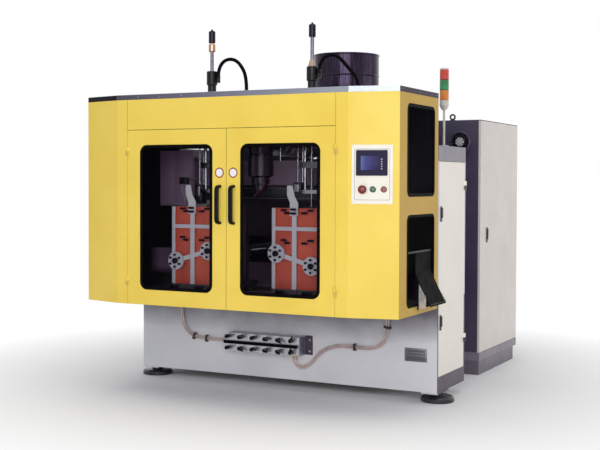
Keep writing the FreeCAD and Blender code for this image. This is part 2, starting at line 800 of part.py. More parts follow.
def front_platen(x, high_side):
    # cast platen with ribs on its face and two tie-bar flanges set on a slant; a foot under the mould
    # and a hanger bracket are bolted to it
    face = platen_face
    ribs = face - rib_proud
    left = x - platen_half_width
    right = x + platen_half_width
    bar_low = platen_high - bar_drop
    shapes = [block(left, right, face, platen_back, platen_low, platen_high),
              block(left, left + rib_width, ribs, face, platen_low, platen_high),
              block(x - 0.65 * rib_width, x + 0.65 * rib_width, ribs, face, platen_low, platen_high),
              block(left, right, ribs, face, bar_low, bar_low + rib_width)]
    high = V(x + high_side * tie_offset, 0, tie_high)
    low = V(x - high_side * tie_offset, 0, tie_low)
    run = low - high
    run.normalize()
    side = V(-run.z, 0, run.x) * 15
    shapes.append(prism([p + BACK * ribs for p in (high + side, low + side, low - side, high - side)],
                        BACK * rib_proud))
    for eye in (high, low):
        shapes.append(rod(eye + BACK * (ribs - 12), BACK, platen_back - ribs + 12, tie_flange))
    for offset in (-80, 95):
        shapes.append(block(x + offset - 30, x + offset + 30, ribs - 8, face, platen_low + 20, platen_low + 53))
    platen = fused(shapes)
    cuts = []
    for eye in (high, low):
        cuts.append(rod(eye + BACK * (ribs - 20), BACK, platen_back - ribs + 40, tie_radius))
        for number in range(flange_screws):
            turn = math.radians(90 + 360 / flange_screws * number)
            hole = eye + V(math.cos(turn), 0, math.sin(turn)) * ((tie_radius + tie_flange) / 2 + 1)
            cuts.append(rod(hole + BACK * (ribs - 20), BACK, 20, 6))
    for start in (platen_high, bar_low - 50):
        for dx, down in ((-83, 14), (-58, 32), (72, 32), (118, 14)):
            cuts.append(slot_cut(x + dx, start - down, face, 25))
    platen = platen.cut(Part.makeCompound(cuts))

    reach = mould_half_depth - clearance
    foot = block(left + foot_margin, right - foot_margin, platen_back, platen_back + min(foot_reach, reach),
                 deck_top + clearance, mould_low)
    half = bracket_half_width
    front = ribs - bracket_thickness
    bracket = prism([V(x - half, front, platen_high - 50), V(x + half, front, platen_high - 50),
                     V(x + half, front, platen_high + 35), V(x + 4, front, platen_high + 80),
                     V(x - 12, front, platen_high + 150), V(x - 52, front, platen_high + 150),
                     V(x - 52, front, platen_high + 85), V(x - half, front, platen_high + 35)],
                    BACK * bracket_thickness)
    for z in (platen_high - 34, platen_high - 8):
        bracket = bracket.cut(slot_cut(x, z, front, bracket_thickness + 1))
    return Part.makeCompound([platen, foot, bracket])


def rear_platen(x, high_side):
    back = mould_line_y + mould_half_depth
    outer = back + platen_thickness
    body = block(x - platen_half_width, x + platen_half_width, back, outer, deck_top + clearance, platen_high)
    reach = min(foot_reach, mould_half_depth - clearance)
    foot = block(x - platen_half_width + foot_margin, x + platen_half_width - foot_margin, back - reach, back,
                 deck_top + clearance, mould_low)
    middle = V(x, outer, tie_middle)
    cylinder = rod(middle, BACK, clamp_length, clamp_radius)
    head = rod(middle + BACK * (clamp_length - 30), BACK, 30, clamp_radius + 12)
    bore = rod(middle + BACK * 10, BACK, clamp_length, clamp_rod + running)
    eyes = []
    for side, z in ((high_side, tie_high), (-high_side, tie_low)):
        eye = V(x + side * tie_offset, back - 1, z)
        eyes.append(rod(eye, BACK, platen_thickness + 2, tie_radius + running))
    return fused([body, foot, cylinder, head]).cut(Part.makeCompound([bore] + eyes))


def build_stations():
    rails = []
    for y in (rail_front, rail_back):
        rails.append(block(-rail_half_length, rail_half_length, y - rail_width / 2, y + rail_width / 2,
                           table_top, table_top + rail_height))
    nodes["guide_rails"] = Part.makeCompound(rails)
    rear_back = mould_line_y + mould_half_depth + platen_thickness
    clamp_back = rear_back + clamp_length
    yoke_front = clamp_back + 2 * opening_stroke + 10
    for name, side in (("left", -1), ("right", 1)):
        x = side * station_x
        deck = block(x - carriage_half_width, x + carriage_half_width, platen_back + 8,
                     rail_back + 2 * shoe_half_depth, carriage_low, deck_top)
        shoes = []
        for y in (rail_front, rail_back):
            shoe = block(x - carriage_half_width + 10, x + carriage_half_width - 10, y - shoe_half_depth,
                         y + shoe_half_depth, table_top + 8, carriage_low)
            groove = block(x - carriage_half_width, x + carriage_half_width, y - rail_width / 2 - clearance,
                           y + rail_width / 2 + clearance, table_top, table_top + rail_height + clearance)
            shoes.append(shoe.cut(groove))
        nodes[name + "_carriage"] = fused([deck] + shoes)

        nodes[name + "_front_platen"] = front_platen(x, -side)
        nodes[name + "_rear_platen"] = rear_platen(x, -side)
        half_gap = clearance / 2
        nodes[name + "_front_mould"] = mould_half(x, platen_back, mould_line_y - half_gap)
        nodes[name + "_rear_mould"] = mould_half(x, mould_line_y + half_gap, mould_line_y + mould_half_depth)

        bars = []
        for turn, z in ((-side, tie_high), (side, tie_low)):
            start = V(x + turn * tie_offset, platen_face - rib_proud - 6, z)
            bars.append(rod(start, BACK, yoke_front + yoke_thickness / 2 - start.y, tie_radius))
        yoke = block(x - platen_half_width, x + platen_half_width, yoke_front, yoke_front + yoke_thickness,
                     tie_low - tie_flange, tie_high + tie_flange)
        middle = V(x, clamp_back - 20, tie_middle)
        piston = rod(middle, BACK, yoke_front + 10 - middle.y, clamp_rod)
        nodes[name + "_tie_bars"] = fused([yoke, piston] + bars)


def build_blow_units():
    frames = []
    cylinders = []
    guides = []
    y = mould_line_y
    shelf_low = cylinder_low - shelf_thickness
    foot_low = guide_low - guide_plate
    for name, side in (("left", -1), ("right", 1)):
        x = side * station_x
        left = x - frame_half_width
        right = x + frame_half_width
        shelf = block(left, right, y - arm_half_width, upright_back, shelf_low, cylinder_low)
        upright = block(left, right, upright_front, upright_back, beam_low + arm_margin / 2, cylinder_low)
        arm = block(x - arm_half_width, x + arm_half_width, upright_back, beam_front,
                    beam_low + arm_margin, beam_high - arm_margin)
        braces = []
        for start in (left, right - 10):
            braces.append(prism([V(start, upright_front, shelf_low - brace_height),
                                 V(start, upright_front - brace_reach, shelf_low),
                                 V(start, upright_front, shelf_low)], RIGHT * 10))
        hole = rod(V(x, y, shelf_low - 1), UP, shelf_thickness + 2, rod_radius + running)
        frames.append(fused([shelf, upright, arm] + braces).cut(hole))

        foot = block(left, right, y - guide_half_depth, y + guide_half_depth, foot_low, guide_low)
        pair = [rod(V(x + dx, y, foot_low), UP, shelf_low - foot_low, guide_radius)
                for dx in (-guide_spread, guide_spread)]
        hole = rod(V(x, y, foot_low - 1), UP, guide_plate + 2, pin_radius + running)
        guides.append(fused([foot] + pair).cut(hole))

        barrel = turned([(rod_radius + running, cylinder_low), (cylinder_neck, cylinder_low),
                         (cylinder_neck, cylinder_step - 6), (cylinder_radius, cylinder_step),
                         (cylinder_radius, cylinder_high - 4), (cylinder_radius - 4, cylinder_high),
                         (rod_radius + running, cylinder_high)], V(x, y, 0))
        elbow = block(x + cylinder_radius - 8, x + hose_start + 8, y - 11, y + 11,
                      cylinder_step + 12, cylinder_step + 35)
        union = rod(V(x + hose_start, y, cylinder_step + 12), UP, 33, union_radius)
        cylinder = fused([barrel, elbow, union])

        stem = [(0, crosshead_low + 5), (rod_radius, crosshead_low + 5)]
        if side < 0:
            stem += [(rod_radius, knob_low - 62), (20, knob_low - 62), (knob_radius, knob_low - 55),
                     (knob_radius, knob_low - 12), (20, knob_low - 5), (rod_radius, knob_low - 5)]
        else:
            cone = [(rod_radius + running, cylinder_high), (knob_radius + 2, cylinder_high),
                    (knob_radius + 2, cylinder_high + 12), (15, cylinder_high + 48),
                    (rod_radius + running, cylinder_high + 48)]
            cylinder = cylinder.fuse(turned(cone, V(x, y, 0)))
        cylinders.append(cylinder)
        stem += [(rod_radius, knob_low), (knob_radius - 3, knob_low), (knob_radius, knob_low + 4),
                 (knob_radius, rod_top - 18), (knob_radius - 5, rod_top - 12), (8, rod_top - 10),
                 (6, rod_top), (0, rod_top)]
        cross = block(x - guide_spread - 25, x + guide_spread + 25, y - guide_half_depth, y + guide_half_depth,
                      crosshead_low, crosshead_low + crosshead_height)
        pin = turned([(0, pin_tip), (4, pin_tip), (pin_radius, pin_tip + 14),
                      (pin_radius, crosshead_low + 1), (0, crosshead_low + 1)], V(x, y, 0))
        slides = [rod(V(x + dx, y, crosshead_low - 1), UP, crosshead_height + 2, guide_radius + running)
                  for dx in (-guide_spread, guide_spread)]
        pin_body = fused([turned(stem, V(x, y, 0)), cross, pin])
        nodes[name + "_blow_pin"] = pin_body.cut(Part.makeCompound(slides))
    nodes["blow_frames"] = Part.makeCompound(frames)
    nodes["blow_cylinders"] = Part.makeCompound(cylinders)
    nodes["guide_rods"] = Part.makeCompound(guides)


def build_head_and_extruder():
    y = mould_line_y
    low = head_low
    body = turned([(14, low), (45, low), (48, low + 8), (48, low + 45), (62, low + 50), (62, low + 95),
                   (head_radius, low + 105), (head_radius, low + 250), (head_radius - 6, low + 256),
                   (head_radius - 6, low + 266), (head_radius, low + 272), (head_radius, head_high - 30),
                   (head_radius - 14, head_high), (0, head_high), (0, low + 60), (14, low + 60)], V(0, y, 0))
    neck = rod(V(0, y, barrel_height), BACK, neck_reach, neck_radius)
    collar = rod(V(0, y + head_radius - 10, barrel_height), BACK, 40, neck_radius + 22)
    nodes["die_head"] = fused([body, neck, collar])

    barrel = [rod(V(0, barrel_start, barrel_height), BACK, barrel_length, barrel_radius),
              rod(V(0, barrel_start, barrel_height), BACK, 40, heater_radius)]
    band = barrel_start + 90
    while band + heater_length < barrel_start + barrel_length:
        barrel.append(rod(V(0, band, barrel_height), BACK, heater_length, heater_radius))
        band += heater_pitch
    barrel.append(block(-throat_half_width, throat_half_width, throat_y - throat_half, barrel_end,
                        barrel_height - throat_drop, throat_top))
    bore = rod(V(0, barrel_start + 20, barrel_height), BACK, barrel_end - barrel_start, flight_radius + running)
    feed = rod(V(0, throat_y, barrel_height), UP, throat_rise + 1, feed_radius)
    nodes["extruder_barrel"] = fused(barrel).cut(bore).cut(feed)

    tail = barrel_end - barrel_start
    profile = [(0, 0), (flight_radius - 8, 60)]
    flight = barrel_length - 60
    for number in range(flight_count):
        profile += [(flight_radius - 8, flight), (flight_radius, flight + 4), (flight_radius, flight + 12),
                    (flight_radius - 8, flight + 16)]
        flight += flight_pitch
    profile += [(flight_radius - 8, tail - 60), (22, tail - 60), (22, tail + 20), (0, tail + 20)]
    nodes["extruder_screw"] = turned(profile, V(0, barrel_start + 30, barrel_height), BACK)

    half = gear_half_width
    gear_top = barrel_height + gear_rise
    shapes = [block(-half, half, gear_front, motor_front, extruder_deck, gear_top),
              block(-throat_half, throat_half, barrel_end, gear_front, barrel_height - throat_half,
                    barrel_height + throat_half)]
    for number in range(5):
        rib = gear_front + (number + 1) * gear_length / 6
        shapes.append(block(-half - 7, half + 7, rib - 6, rib + 6, extruder_deck, gear_top - 20))
    motor_z = extruder_deck + motor_rise
    shapes += [rod(V(0, motor_front, motor_z), BACK, 30, motor_radius + 25),
               rod(V(0, motor_front, motor_z), BACK, motor_length - 50, motor_radius)]
    fan_start = motor_length - 80
    for number in range(motor_fins):
        fin = motor_front + 50 + number * (fan_start - 60) / motor_fins
        shapes.append(rod(V(0, fin, motor_z), BACK, 8, motor_radius + 10))
    shapes.append(rod(V(0, motor_front + fan_start, motor_z), BACK, 80, motor_radius + 12))
    shapes.append(block(-motor_radius / 2, motor_radius / 2, motor_front + 60, motor_front + fan_start - 40,
                        extruder_deck, motor_z))
    shaft_room = rod(V(0, barrel_end - 1, barrel_height), BACK, 70, 30)
    nodes["gear_motor"] = fused(shapes).cut(shaft_room)

    deck = extruder_deck
    step_foot = throat_y - 371
    step_top = step_foot + 200

    def housing(inset, floor):
        # side outline of the folded housing, drawn in by inset
        outline = [(base_back + inset, floor), (extruder_back - inset, floor),
                   (extruder_back - inset, deck - inset), (step_top + inset / 2, deck - inset),
                   (step_foot + inset / 2, step_height - inset), (base_back + inset, step_height - inset)]
        wide = extruder_half_width - inset
        return prism([V(-wide, along, rise) for along, rise in outline], RIGHT * (2 * wide))

    stand = housing(0, base_bottom).cut(housing(frame_plate, base_bottom + frame_plate))
    stand = stand.cut(block(-extruder_half_width + under_rim, extruder_half_width - under_rim,
                            base_back + under_rim, extruder_back - under_rim,
                            base_bottom - 1, base_bottom + frame_plate + 1))
    post = block(-throat_drop, throat_drop, throat_y - 70, throat_y + 70, deck, barrel_height - throat_drop)
    nodes["extruder_base"] = fused([stand, post])

    spout = feed_radius + 15
    flange = throat_half - 2
    outer = [(feed_radius, throat_top), (flange, throat_top), (flange, throat_top + 15),
             (spout, throat_top + 15), (spout, throat_top + 60), (drum_radius, drum_low),
             (drum_radius, drum_top - drum_seam), (drum_radius + drum_bead, drum_top - drum_seam),
             (drum_radius + drum_bead, drum_top - drum_seam + 6), (drum_radius, drum_top - drum_seam + 6),
             (drum_radius, drum_top - 8), (drum_radius + drum_bead, drum_top - 6),
             (drum_radius + drum_bead, drum_top), (drum_radius - drum_wall, drum_top),
             (drum_radius - drum_wall, drum_low + 2), (feed_radius, throat_top + 62)]
    nodes["drum_hopper"] = turned(outer, V(0, throat_y, 0))


def build_cabinet():
    right = cabinet_right - cabinet_door_depth
    shell = block(cabinet_left, right, cabinet_front, cabinet_back, cabinet_low, cabinet_high)
    room = block(cabinet_left + cabinet_wall, right - cabinet_wall, cabinet_front + cabinet_wall,
                 cabinet_back - cabinet_wall, cabinet_low + cabinet_wall, cabinet_high - cabinet_wall)
    mouth = block(right - cabinet_wall - 1, right + 1, cabinet_front + cabinet_rim, cabinet_back - cabinet_rim,
                  cabinet_door_low + cabinet_rim, cabinet_high - cabinet_rim)
    plinth = block(cabinet_left + 8, cabinet_right - 4, cabinet_front, plinth_back, 0, cabinet_low)
    low = cabinet_door_low
    high = cabinet_high - cabinet_wall - door_air
    sill = block(right, cabinet_right, cabinet_front, cabinet_back, cabinet_low, low - door_gap)
    lip = block(right, cabinet_right, cabinet_front, cabinet_back, cabinet_high - cabinet_wall, cabinet_high)
    ring = turned([(fan_radius - 12, 8), (fan_radius - 12, 50), (fan_radius - 4, 56), (fan_radius, 50),
                   (fan_radius, 0), (fan_shaft + running, 0), (fan_shaft + running, 8)],
                  V(fan_x, cabinet_front, fan_z), FRONT)
    eye = V(fan_x - 1.25 * fan_radius, cabinet_front + 60, cabinet_high)
    loop = Part.makeTorus(19, 7, eye + UP * 28, BACK)
    pivot = V(cabinet_right - pivot_inset, cabinet_back - door_gap - pivot_inset, low - door_gap)
    top_pivot = V(pivot.x, pivot.y, high + door_air - pivot_length)
    pins = [rod(pivot, UP, pivot_length, pivot_radius), rod(top_pivot, UP, pivot_length, pivot_radius)]
    nodes["cabinet_body"] = fused([shell.cut(room).cut(mouth), plinth, sill, lip, ring, rod(eye, UP, 6, 20),
                                   loop] + pins)

    hub = turned([(0, 2), (fan_shaft, 2), (fan_shaft, 14), (34, 14), (34, 62), (28, 68), (0, 68)],
                 V(fan_x, cabinet_front, fan_z), FRONT)
    blades = []
    for number in range(fan_blades):
        blade = block(30, fan_radius - 14, -3, 3, -18, 18)
        blade.rotate(V(0, 0, 0), RIGHT, 35)
        blade.translate(V(0, 0, 34))
        blade.rotate(V(0, 0, 0), UP, number * 360 / fan_blades)
        blade.Placement = FreeCAD.Placement(V(fan_x, cabinet_front, fan_z),
                                            FreeCAD.Rotation(UP, FRONT)).multiply(blade.Placement)
        blades.append(blade)
    nodes["fan_wheel"] = fused([hub] + blades)

    inner = right + door_air
    front = cabinet_front + 2
    back = cabinet_back - door_gap
    panel = block(inner, cabinet_right, front, back, low, high)
    hollow = block(right, cabinet_right - door_sheet, front + door_sheet, back - door_sheet,
                   low + door_sheet, high - door_sheet)
    shapes = [panel.cut(hollow),
              rounded_plate(V(cabinet_right - 1, cabinet_front + 165, low + 915), BACK, UP, 26, 120, 8, V(7, 0, 0)),
              rounded_plate(V(cabinet_right + 5, cabinet_front + 165, low + 922), BACK, UP, 14, 84, 6, V(9, 0, 0))]
    corner = 3 * pivot_inset
    for start in (low, high - pivot_length - 5):
        shapes.append(block(inner, cabinet_right, back - corner, back, start, start + pivot_length + 5))
    bores = [rod(pivot, UP, pivot_length + 2, pivot_radius + running),
             rod(top_pivot - UP * 2, UP, pivot_length + 2, pivot_radius + running)]
    nodes["cabinet_door"] = fused(shapes).cut(Part.makeCompound(bores))


def build_lamp():
    x = lamp_x
    y = lamp_y
    low = lamp_foot + lamp_cup
    nodes["lamp_post"] = turned([(0, column_top), (32, column_top), (32, column_top + 8), (8, column_top + 10),
                                 (8, lamp_foot - 10), (20, lamp_foot), (lamp_radius, lamp_foot + 22),
                                 (lamp_radius, low), (0, low)], V(x, y, 0))
    lenses = []
    for number in range(lens_count):
        high = low + lens_height
        profile = [(0, low), (lamp_radius - 2, low), (lamp_radius, low + 3), (lamp_radius, high - 3),
                   (lamp_radius - 2, high), (0, high)]
        lenses.append(turned(profile, V(x, y, 0)))
        low = high + clearance
    nodes["lamp_lenses"] = Part.makeCompound(lenses)


def build_manifold():
    front = base_front - manifold_depth
    body = block(manifold_left, manifold_right, front, base_front, manifold_low, manifold_high)
    plate = block(manifold_left - plate_margin, manifold_right + plate_margin, base_front - manifold_plate,
                  base_front, manifold_low, manifold_high + 6)
    middle_z = (manifold_low + manifold_high) / 2
    bar = block(manifold_left - 10, manifold_right - 10, front - 20, front, middle_z - 11, middle_z + 11)
    shapes = [body, plate, bar]
    for row in (manifold_low + 24, manifold_high - 24):
        for number, turn in enumerate(valve_turns):
            x = manifold_left + 22 + number * valve_pitch
            shapes.append(rod(V(x, front, row), FRONT, 16, 12))
            shapes.append(rod(V(x, front - 16, row), FRONT, 14, 7))
            lever = rounded_plate(V(x + 8, front - 30, row), RIGHT, UP, 42, 12, 5, V(0, -8, 0))
            lever.rotate(V(x, front, row), BACK, turn)
            shapes.append(lever)
    ports = []
    for x in (manifold_left - plate_margin + 24, manifold_right + plate_margin - 24):
        for z in (manifold_low + 26, manifold_high - 26):
            ports.append(rod(V(x, base_front - manifold_plate - 1, z), BACK, manifold_plate + 2, 7))
    inlet = V(manifold_left - 1, front + manifold_depth / 2, middle_z)
    ports.append(rod(inlet, RIGHT, 31, inlet_radius))
    nodes["manifold_block"] = fused(shapes).cut(Part.makeCompound(ports))


def bent_tube(points, radius):
    # straight runs joined by tangent arcs, as large as 0.45 of the shorter run allows
    edges = []
    start = points[0]
    tightest = None
    length = 0
    for before, corner, after in zip(points, points[1:], points[2:]):
        into = corner - before
        out = after - corner
        shorter = min(into.Length, out.Length)
        half = into.getAngle(out) / 2
        bend = 0.45 * shorter / math.tan(half)
        into.normalize()
        out.normalize()
        set_back = 0.45 * shorter
        first = corner - into * set_back
        last = corner + out * set_back
        inward = out - into
        inward.normalize()
        crown = corner + inward * (bend / math.cos(half) - bend)
        if (first - start).Length > 1e-6:
            edges.append(Part.LineSegment(start, first).toShape())
        edges.append(Part.Arc(first, crown, last).toShape())
        start = last
        tightest = bend if tightest is None else min(tightest, bend)
    edges.append(Part.LineSegment(start, points[-1]).toShape())
    path = Part.Wire(edges)
    way = points[1] - points[0]
    section = Part.Wire(Part.makeCircle(radius, points[0], way))
    tube = path.makePipeShell([section], True, False)
    ratio = tube.Volume / (math.pi * radius * radius * path.Length)
    print("tube length %.0f, tightest radius %.0f, volume ratio %.4f" % (path.Length, tightest, ratio))
    return tube


def beside(points, distance):
    # the same route moved sideways in its upright plane, to the left of its direction for plus
    moved = []
    for number, point in enumerate(points):
        into = point - points[number - 1] if number else points[1] - point
        out = points[number + 1] - point if number < len(points) - 1 else into
        into.normalize()
        out = V(out)
        out.normalize()
        first = V(-into.z, 0, into.x)
        last = V(-out.z, 0, out.x)
        middle = first + last
        moved.append(point + middle * (2 * distance / middle.dot(middle)))
    return moved


def build_hoses():
    near = base_front - manifold_plate - hose_radius - 1
    under_table = table_top - table_thickness
    left = ((hose_ends[0], under_table),) + left_hose_route + ((manifold_left, left_hose_port),)
    right = ((right_hose_port, manifold_low),) + right_hose_route + ((hose_ends[1], under_table),)
    hoses = []
    for route in (left, right):
        points = [V(x, near, z) for x, z in route]
        for offset in (-hose_pitch, hose_pitch):
            hoses.append(bent_tube(beside(points, offset), hose_radius))
    nodes["water_hoses"] = Part.makeCompound(hoses)

    clips = []
    room = hose_pitch + hose_radius + clip_room
    reach = base_front - near + hose_radius + clip_room
    for x, z, turn in hose_clip_places:
        clip = block(-clip_width / 2, clip_width / 2, -reach - 2, 0, -room - 8, room + 8)
        clip = clip.cut(block(-clip_width, clip_width, -reach, 1, -room, room))
        clip.rotate(V(0, 0, 0), FRONT, turn)
        clip.translate(V(x, base_front, z))
        clips += clip.Solids
    nodes["hose_clips"] = Part.makeCompound(clips)

    low = cylinder_step + 45
    arches = []
    for side, place, route in zip((-1, 1), gland_places, top_hose_routes):
        start = V(side * station_x + hose_start, mould_line_y, low)
        points = [start] + [start + V(dx, 0, dz) for dx, dz in route]
        points.append(V(place, mould_line_y, hood_top + gland_height))
        arches.append(bent_tube(points, top_hose_radius))
    nodes["top_hoses"] = Part.makeCompound(arches)


build_frame()
column_pins = build_column_door()
hood_pins = build_hood()
build_doors()
build_outlet()
build_panel()
build_stations()
build_blow_units()
build_head_and_extruder()
build_cabinet()
build_lamp()
build_manifold()
build_hoses()
nodes["hood_hinges"] = Part.makeCompound(hood_pins + column_pins)

box = FreeCAD.BoundBox()
for shape in nodes.values():
    box.add(shape.BoundBox)
origin = V((box.XMin + box.XMax) / 2, (box.YMin + box.YMax) / 2, box.ZMin)

os.makedirs("parts", exist_ok=True)
for name, shape in nodes.items():
    placed = shape.copy()
    placed.translate(-origin)
    placed.exportStep("parts/%s.step" % name)
print("nodes", len(nodes), "origin", origin, "box", box)
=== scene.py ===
import bmesh
import bpy
import math
from mathutils import Matrix, Vector


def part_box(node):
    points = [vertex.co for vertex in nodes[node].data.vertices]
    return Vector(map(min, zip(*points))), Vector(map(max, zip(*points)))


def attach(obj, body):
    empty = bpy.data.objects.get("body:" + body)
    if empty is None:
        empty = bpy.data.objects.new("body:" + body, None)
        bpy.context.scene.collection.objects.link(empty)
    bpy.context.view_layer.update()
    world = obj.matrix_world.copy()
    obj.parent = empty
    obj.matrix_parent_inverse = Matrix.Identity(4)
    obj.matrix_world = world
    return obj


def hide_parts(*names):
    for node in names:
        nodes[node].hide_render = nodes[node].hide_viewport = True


# Double-station blow moulding machine. Sizes are in millimetres on the machine's own axes: x from its
# centre plane, y back from the flat front of the hood, z from the floor; place() turns them to the frame.

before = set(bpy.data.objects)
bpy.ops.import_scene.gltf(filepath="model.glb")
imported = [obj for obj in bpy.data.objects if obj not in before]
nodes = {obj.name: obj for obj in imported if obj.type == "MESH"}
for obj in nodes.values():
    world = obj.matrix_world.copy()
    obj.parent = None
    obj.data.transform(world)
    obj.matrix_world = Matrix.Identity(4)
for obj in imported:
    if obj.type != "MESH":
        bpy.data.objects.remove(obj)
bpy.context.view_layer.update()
print("frame loaded")

hood = {"halfWidth": 1202, "flatHalf": 887, "setback": 80, "chamferRun": 315,
        "doorMargin": 87, "doorTop": 1860}
chamferTurn = math.atan2(hood["setback"], hood["chamferRun"])
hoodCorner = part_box("hood_shell")[0]
sides = ((-1, "left"), (1, "right"))
forward, toRight, upward = Vector((0, -1, 0)), Vector((1, 0, 0)), Vector((0, 0, 1))
slantAlong = Vector((math.cos(chamferTurn), math.sin(chamferTurn), 0))
slantOut = Vector((math.sin(chamferTurn), -math.cos(chamferTurn), 0))


def place(x, y, z):
    return Vector((hoodCorner.x + (x + hood["halfWidth"]) / 1000, hoodCorner.y + y / 1000, z / 1000))


def onChamfer(along, height, out=0):
    # along the right front chamfer from its front crease, and out from its face
    return place(hood["flatHalf"], 0, height) + (slantAlong * along + slantOut * out) / 1000


def newObject(name, data):
    made = bpy.data.objects.new(name, data)
    bpy.context.collection.objects.link(made)
    return made


def aim(thing, at, way):
    # stands at a point and looks along a way
    thing.location = at
    thing.rotation_mode = "QUATERNION"
    thing.rotation_quaternion = way.to_track_quat("-Z", "Y")


camera = {"x": 3789.7, "y": -6258.8, "z": 1509.3, "turn": 0.4776, "dip": 0.027, "roll": 0.0035, "lens": 66.18,
          "shiftY": -14 / 600, "reach": 200}
lens = newObject("Camera", bpy.data.cameras.new("Camera"))
level = math.cos(camera["dip"])
aim(lens, place(camera["x"], camera["y"], camera["z"]),
    Vector((-math.sin(camera["turn"]) * level, math.cos(camera["turn"]) * level, -math.sin(camera["dip"]))))
lens.rotation_quaternion = lens.rotation_quaternion @ Matrix.Rotation(camera["roll"], 3, "Z").to_quaternion()
lens.data.lens = camera["lens"]
lens.data.shift_y = camera["shiftY"]
lens.data.clip_end = camera["reach"]
bpy.context.scene.camera = lens

# hoses: two pairs of clear water hose from the manifold, and a black air hose over each blow cylinder

hoses = {"waterRadius": 6.5, "airRadius": 12.5, "waterY": 745.5, "airY": 463, "pairGap": 7.5,
         "waterLengths": {"left": (0.685, 0.709), "right": (1.078, 1.126)},
         "airLengths": {"left": 0.498, "right": 0.51},
         "left": [(-845, 660), (-845, 520), (-820, 400), (-730, 335), (-570, 327), (-399, 327)],
         "right": [(120, 268), (120, 210), (175, 165), (255, 205), (330, 300), (450, 350), (600, 352),
                   (740, 345), (830, 400), (850, 530), (850, 660)],
         "leftAir": [(-348, 2240), (-348, 2305), (-294, 2370), (-204, 2368), (-136, 2290), (-115, 2203),
                     (-115, 2123)],
         "rightAir": [(452, 2240), (452, 2296), (502, 2362), (586, 2362), (670, 2272), (745, 2190),
                      (745, 2123)]}


def beside(points, distance):
    # the route moved sideways in its own plane, so that the two hoses of a pair run side by side
    moved = []
    for i, point in enumerate(points):
        here = Vector(point)
        into = (here - Vector(points[i - 1])).normalized() if i else None
        out = (Vector(points[i + 1]) - here).normalized() if i + 1 < len(points) else into
        into = into or out
        across = Vector((-into.y - out.y, into.x + out.x))
        moved.append(here + across * (2 * distance / across.length_squared))
    return moved


def hosePiece(name, points, depth, radius, node):
    curve = bpy.data.curves.new(name, "CURVE")
    curve.dimensions = "3D"
    curve.bevel_depth = 1  # the points carry the hose's own radius, so the curve's box stays true
    curve.bevel_resolution = 5
    curve.use_fill_caps = True
    curve.resolution_u = 14
    spline = curve.splines.new("NURBS")
    spline.points.add(len(points) - 1)
    for spot, point in zip(spline.points, points):
        spot.co = (*place(point[0], depth, point[1]), 1)
        spot.radius = radius / 1000
    spline.order_u = 3
    spline.use_endpoint_u = True
    piece = newObject(name, curve)
    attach(piece, "frame")
    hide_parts(node)
    return piece


waterHoses = [hosePiece("waterHose_%s_%d" % (label, number), beside(hoses[label], way * hoses["pairGap"]),
                        hoses["waterY"], hoses["waterRadius"], "water_hoses")
              for _, label in sides for number, way in enumerate((1, -1))]
airHoses = [hosePiece("airHose_" + label, hoses[label + "Air"], hoses["airY"], hoses["airRadius"],
                      "top_hoses") for _, label in sides]
print("hoses laid")


# small helpers for the finishes; those that take a socket work in that socket's own node tree

def toLinear(text):
    # sRGB hex to the linear colour that the shaders read
    steps = [int(text[i:i + 2], 16) / 255 for i in (0, 2, 4)]
    return [s / 12.92 if s <= 0.04045 else ((s + 0.055) / 1.055) ** 2.4 for s in steps] + [1.0]


def addNode(tree, kind, settings=None, links=None):
    node = tree.nodes.new(kind)
    for name, value in (settings or {}).items():
        if isinstance(name, str) and hasattr(node, name):
            setattr(node, name, value)
        else:
            node.inputs[name].default_value = value
    for name, source in (links or {}).items():
        tree.links.new(source, node.inputs[name])
    return node


def newMaterial(name, settings):
    material = bpy.data.materials.new(name)
    material.use_nodes = True
    tree = material.node_tree
    tree.nodes.clear()
    shader = addNode(tree, "ShaderNodeBsdfPrincipled", settings)
    addNode(tree, "ShaderNodeOutputMaterial", links={"Surface": shader.outputs[0]})
    return material, tree, shader


def ramp(source, stops):
    # colour ramp with stops of position and colour
    node = addNode(source.id_data, "ShaderNodeValToRGB", links={"Fac": source})
    while len(node.color_ramp.elements) < len(stops):
        node.color_ramp.elements.new(0.5)
    for element, (position, colour) in zip(node.color_ramp.elements, stops):
        element.position = position
        element.color = toLinear(colour) if isinstance(colour, str) else [colour] * 3 + [1]
    return node.outputs["Color"]


def noiseAt(tree, size, detail=3, stretch=(1, 1, 1)):
    # noise whose features measure size millimetres on the object
    where = addNode(tree, "ShaderNodeTexCoord").outputs["Object"]
    if stretch != (1, 1, 1):
        where = addNode(tree, "ShaderNodeMapping", {"Scale": stretch}, {"Vector": where}).outputs["Vector"]
    return addNode(tree, "ShaderNodeTexNoise", {"Scale": 1000 / size, "Detail": detail},
                   {"Vector": where}).outputs["Fac"]


def machineSpot(tree):
    # x, y and z of the surface on the machine's own axes, in metres
    where = addNode(tree, "ShaderNodeTexCoord").outputs["Object"]
    moved = addNode(tree, "ShaderNodeVectorMath", {"operation": "SUBTRACT", 1: place(0, 0, 0)}, {0: where})
    return addNode(tree, "ShaderNodeSeparateXYZ", links={0: moved.outputs[0]}).outputs


def sums(operation, first, second=0):
    # one maths node; each side is a socket or a plain number
    tree = (second if isinstance(first, (int, float)) else first).id_data
    node = addNode(tree, "ShaderNodeMath", {"operation": operation})
    for slot, value in enumerate((first, second)):
        if isinstance(value, (int, float)):
            node.inputs[slot].default_value = value
        else:
            tree.links.new(value, node.inputs[slot])
    return node.outputs[0]


def over(socket, value):
    return sums("GREATER_THAN", socket, value)


def under(socket, value):
    return sums("LESS_THAN", socket, value)


def both(first, second):
    return sums("MULTIPLY", first, second)


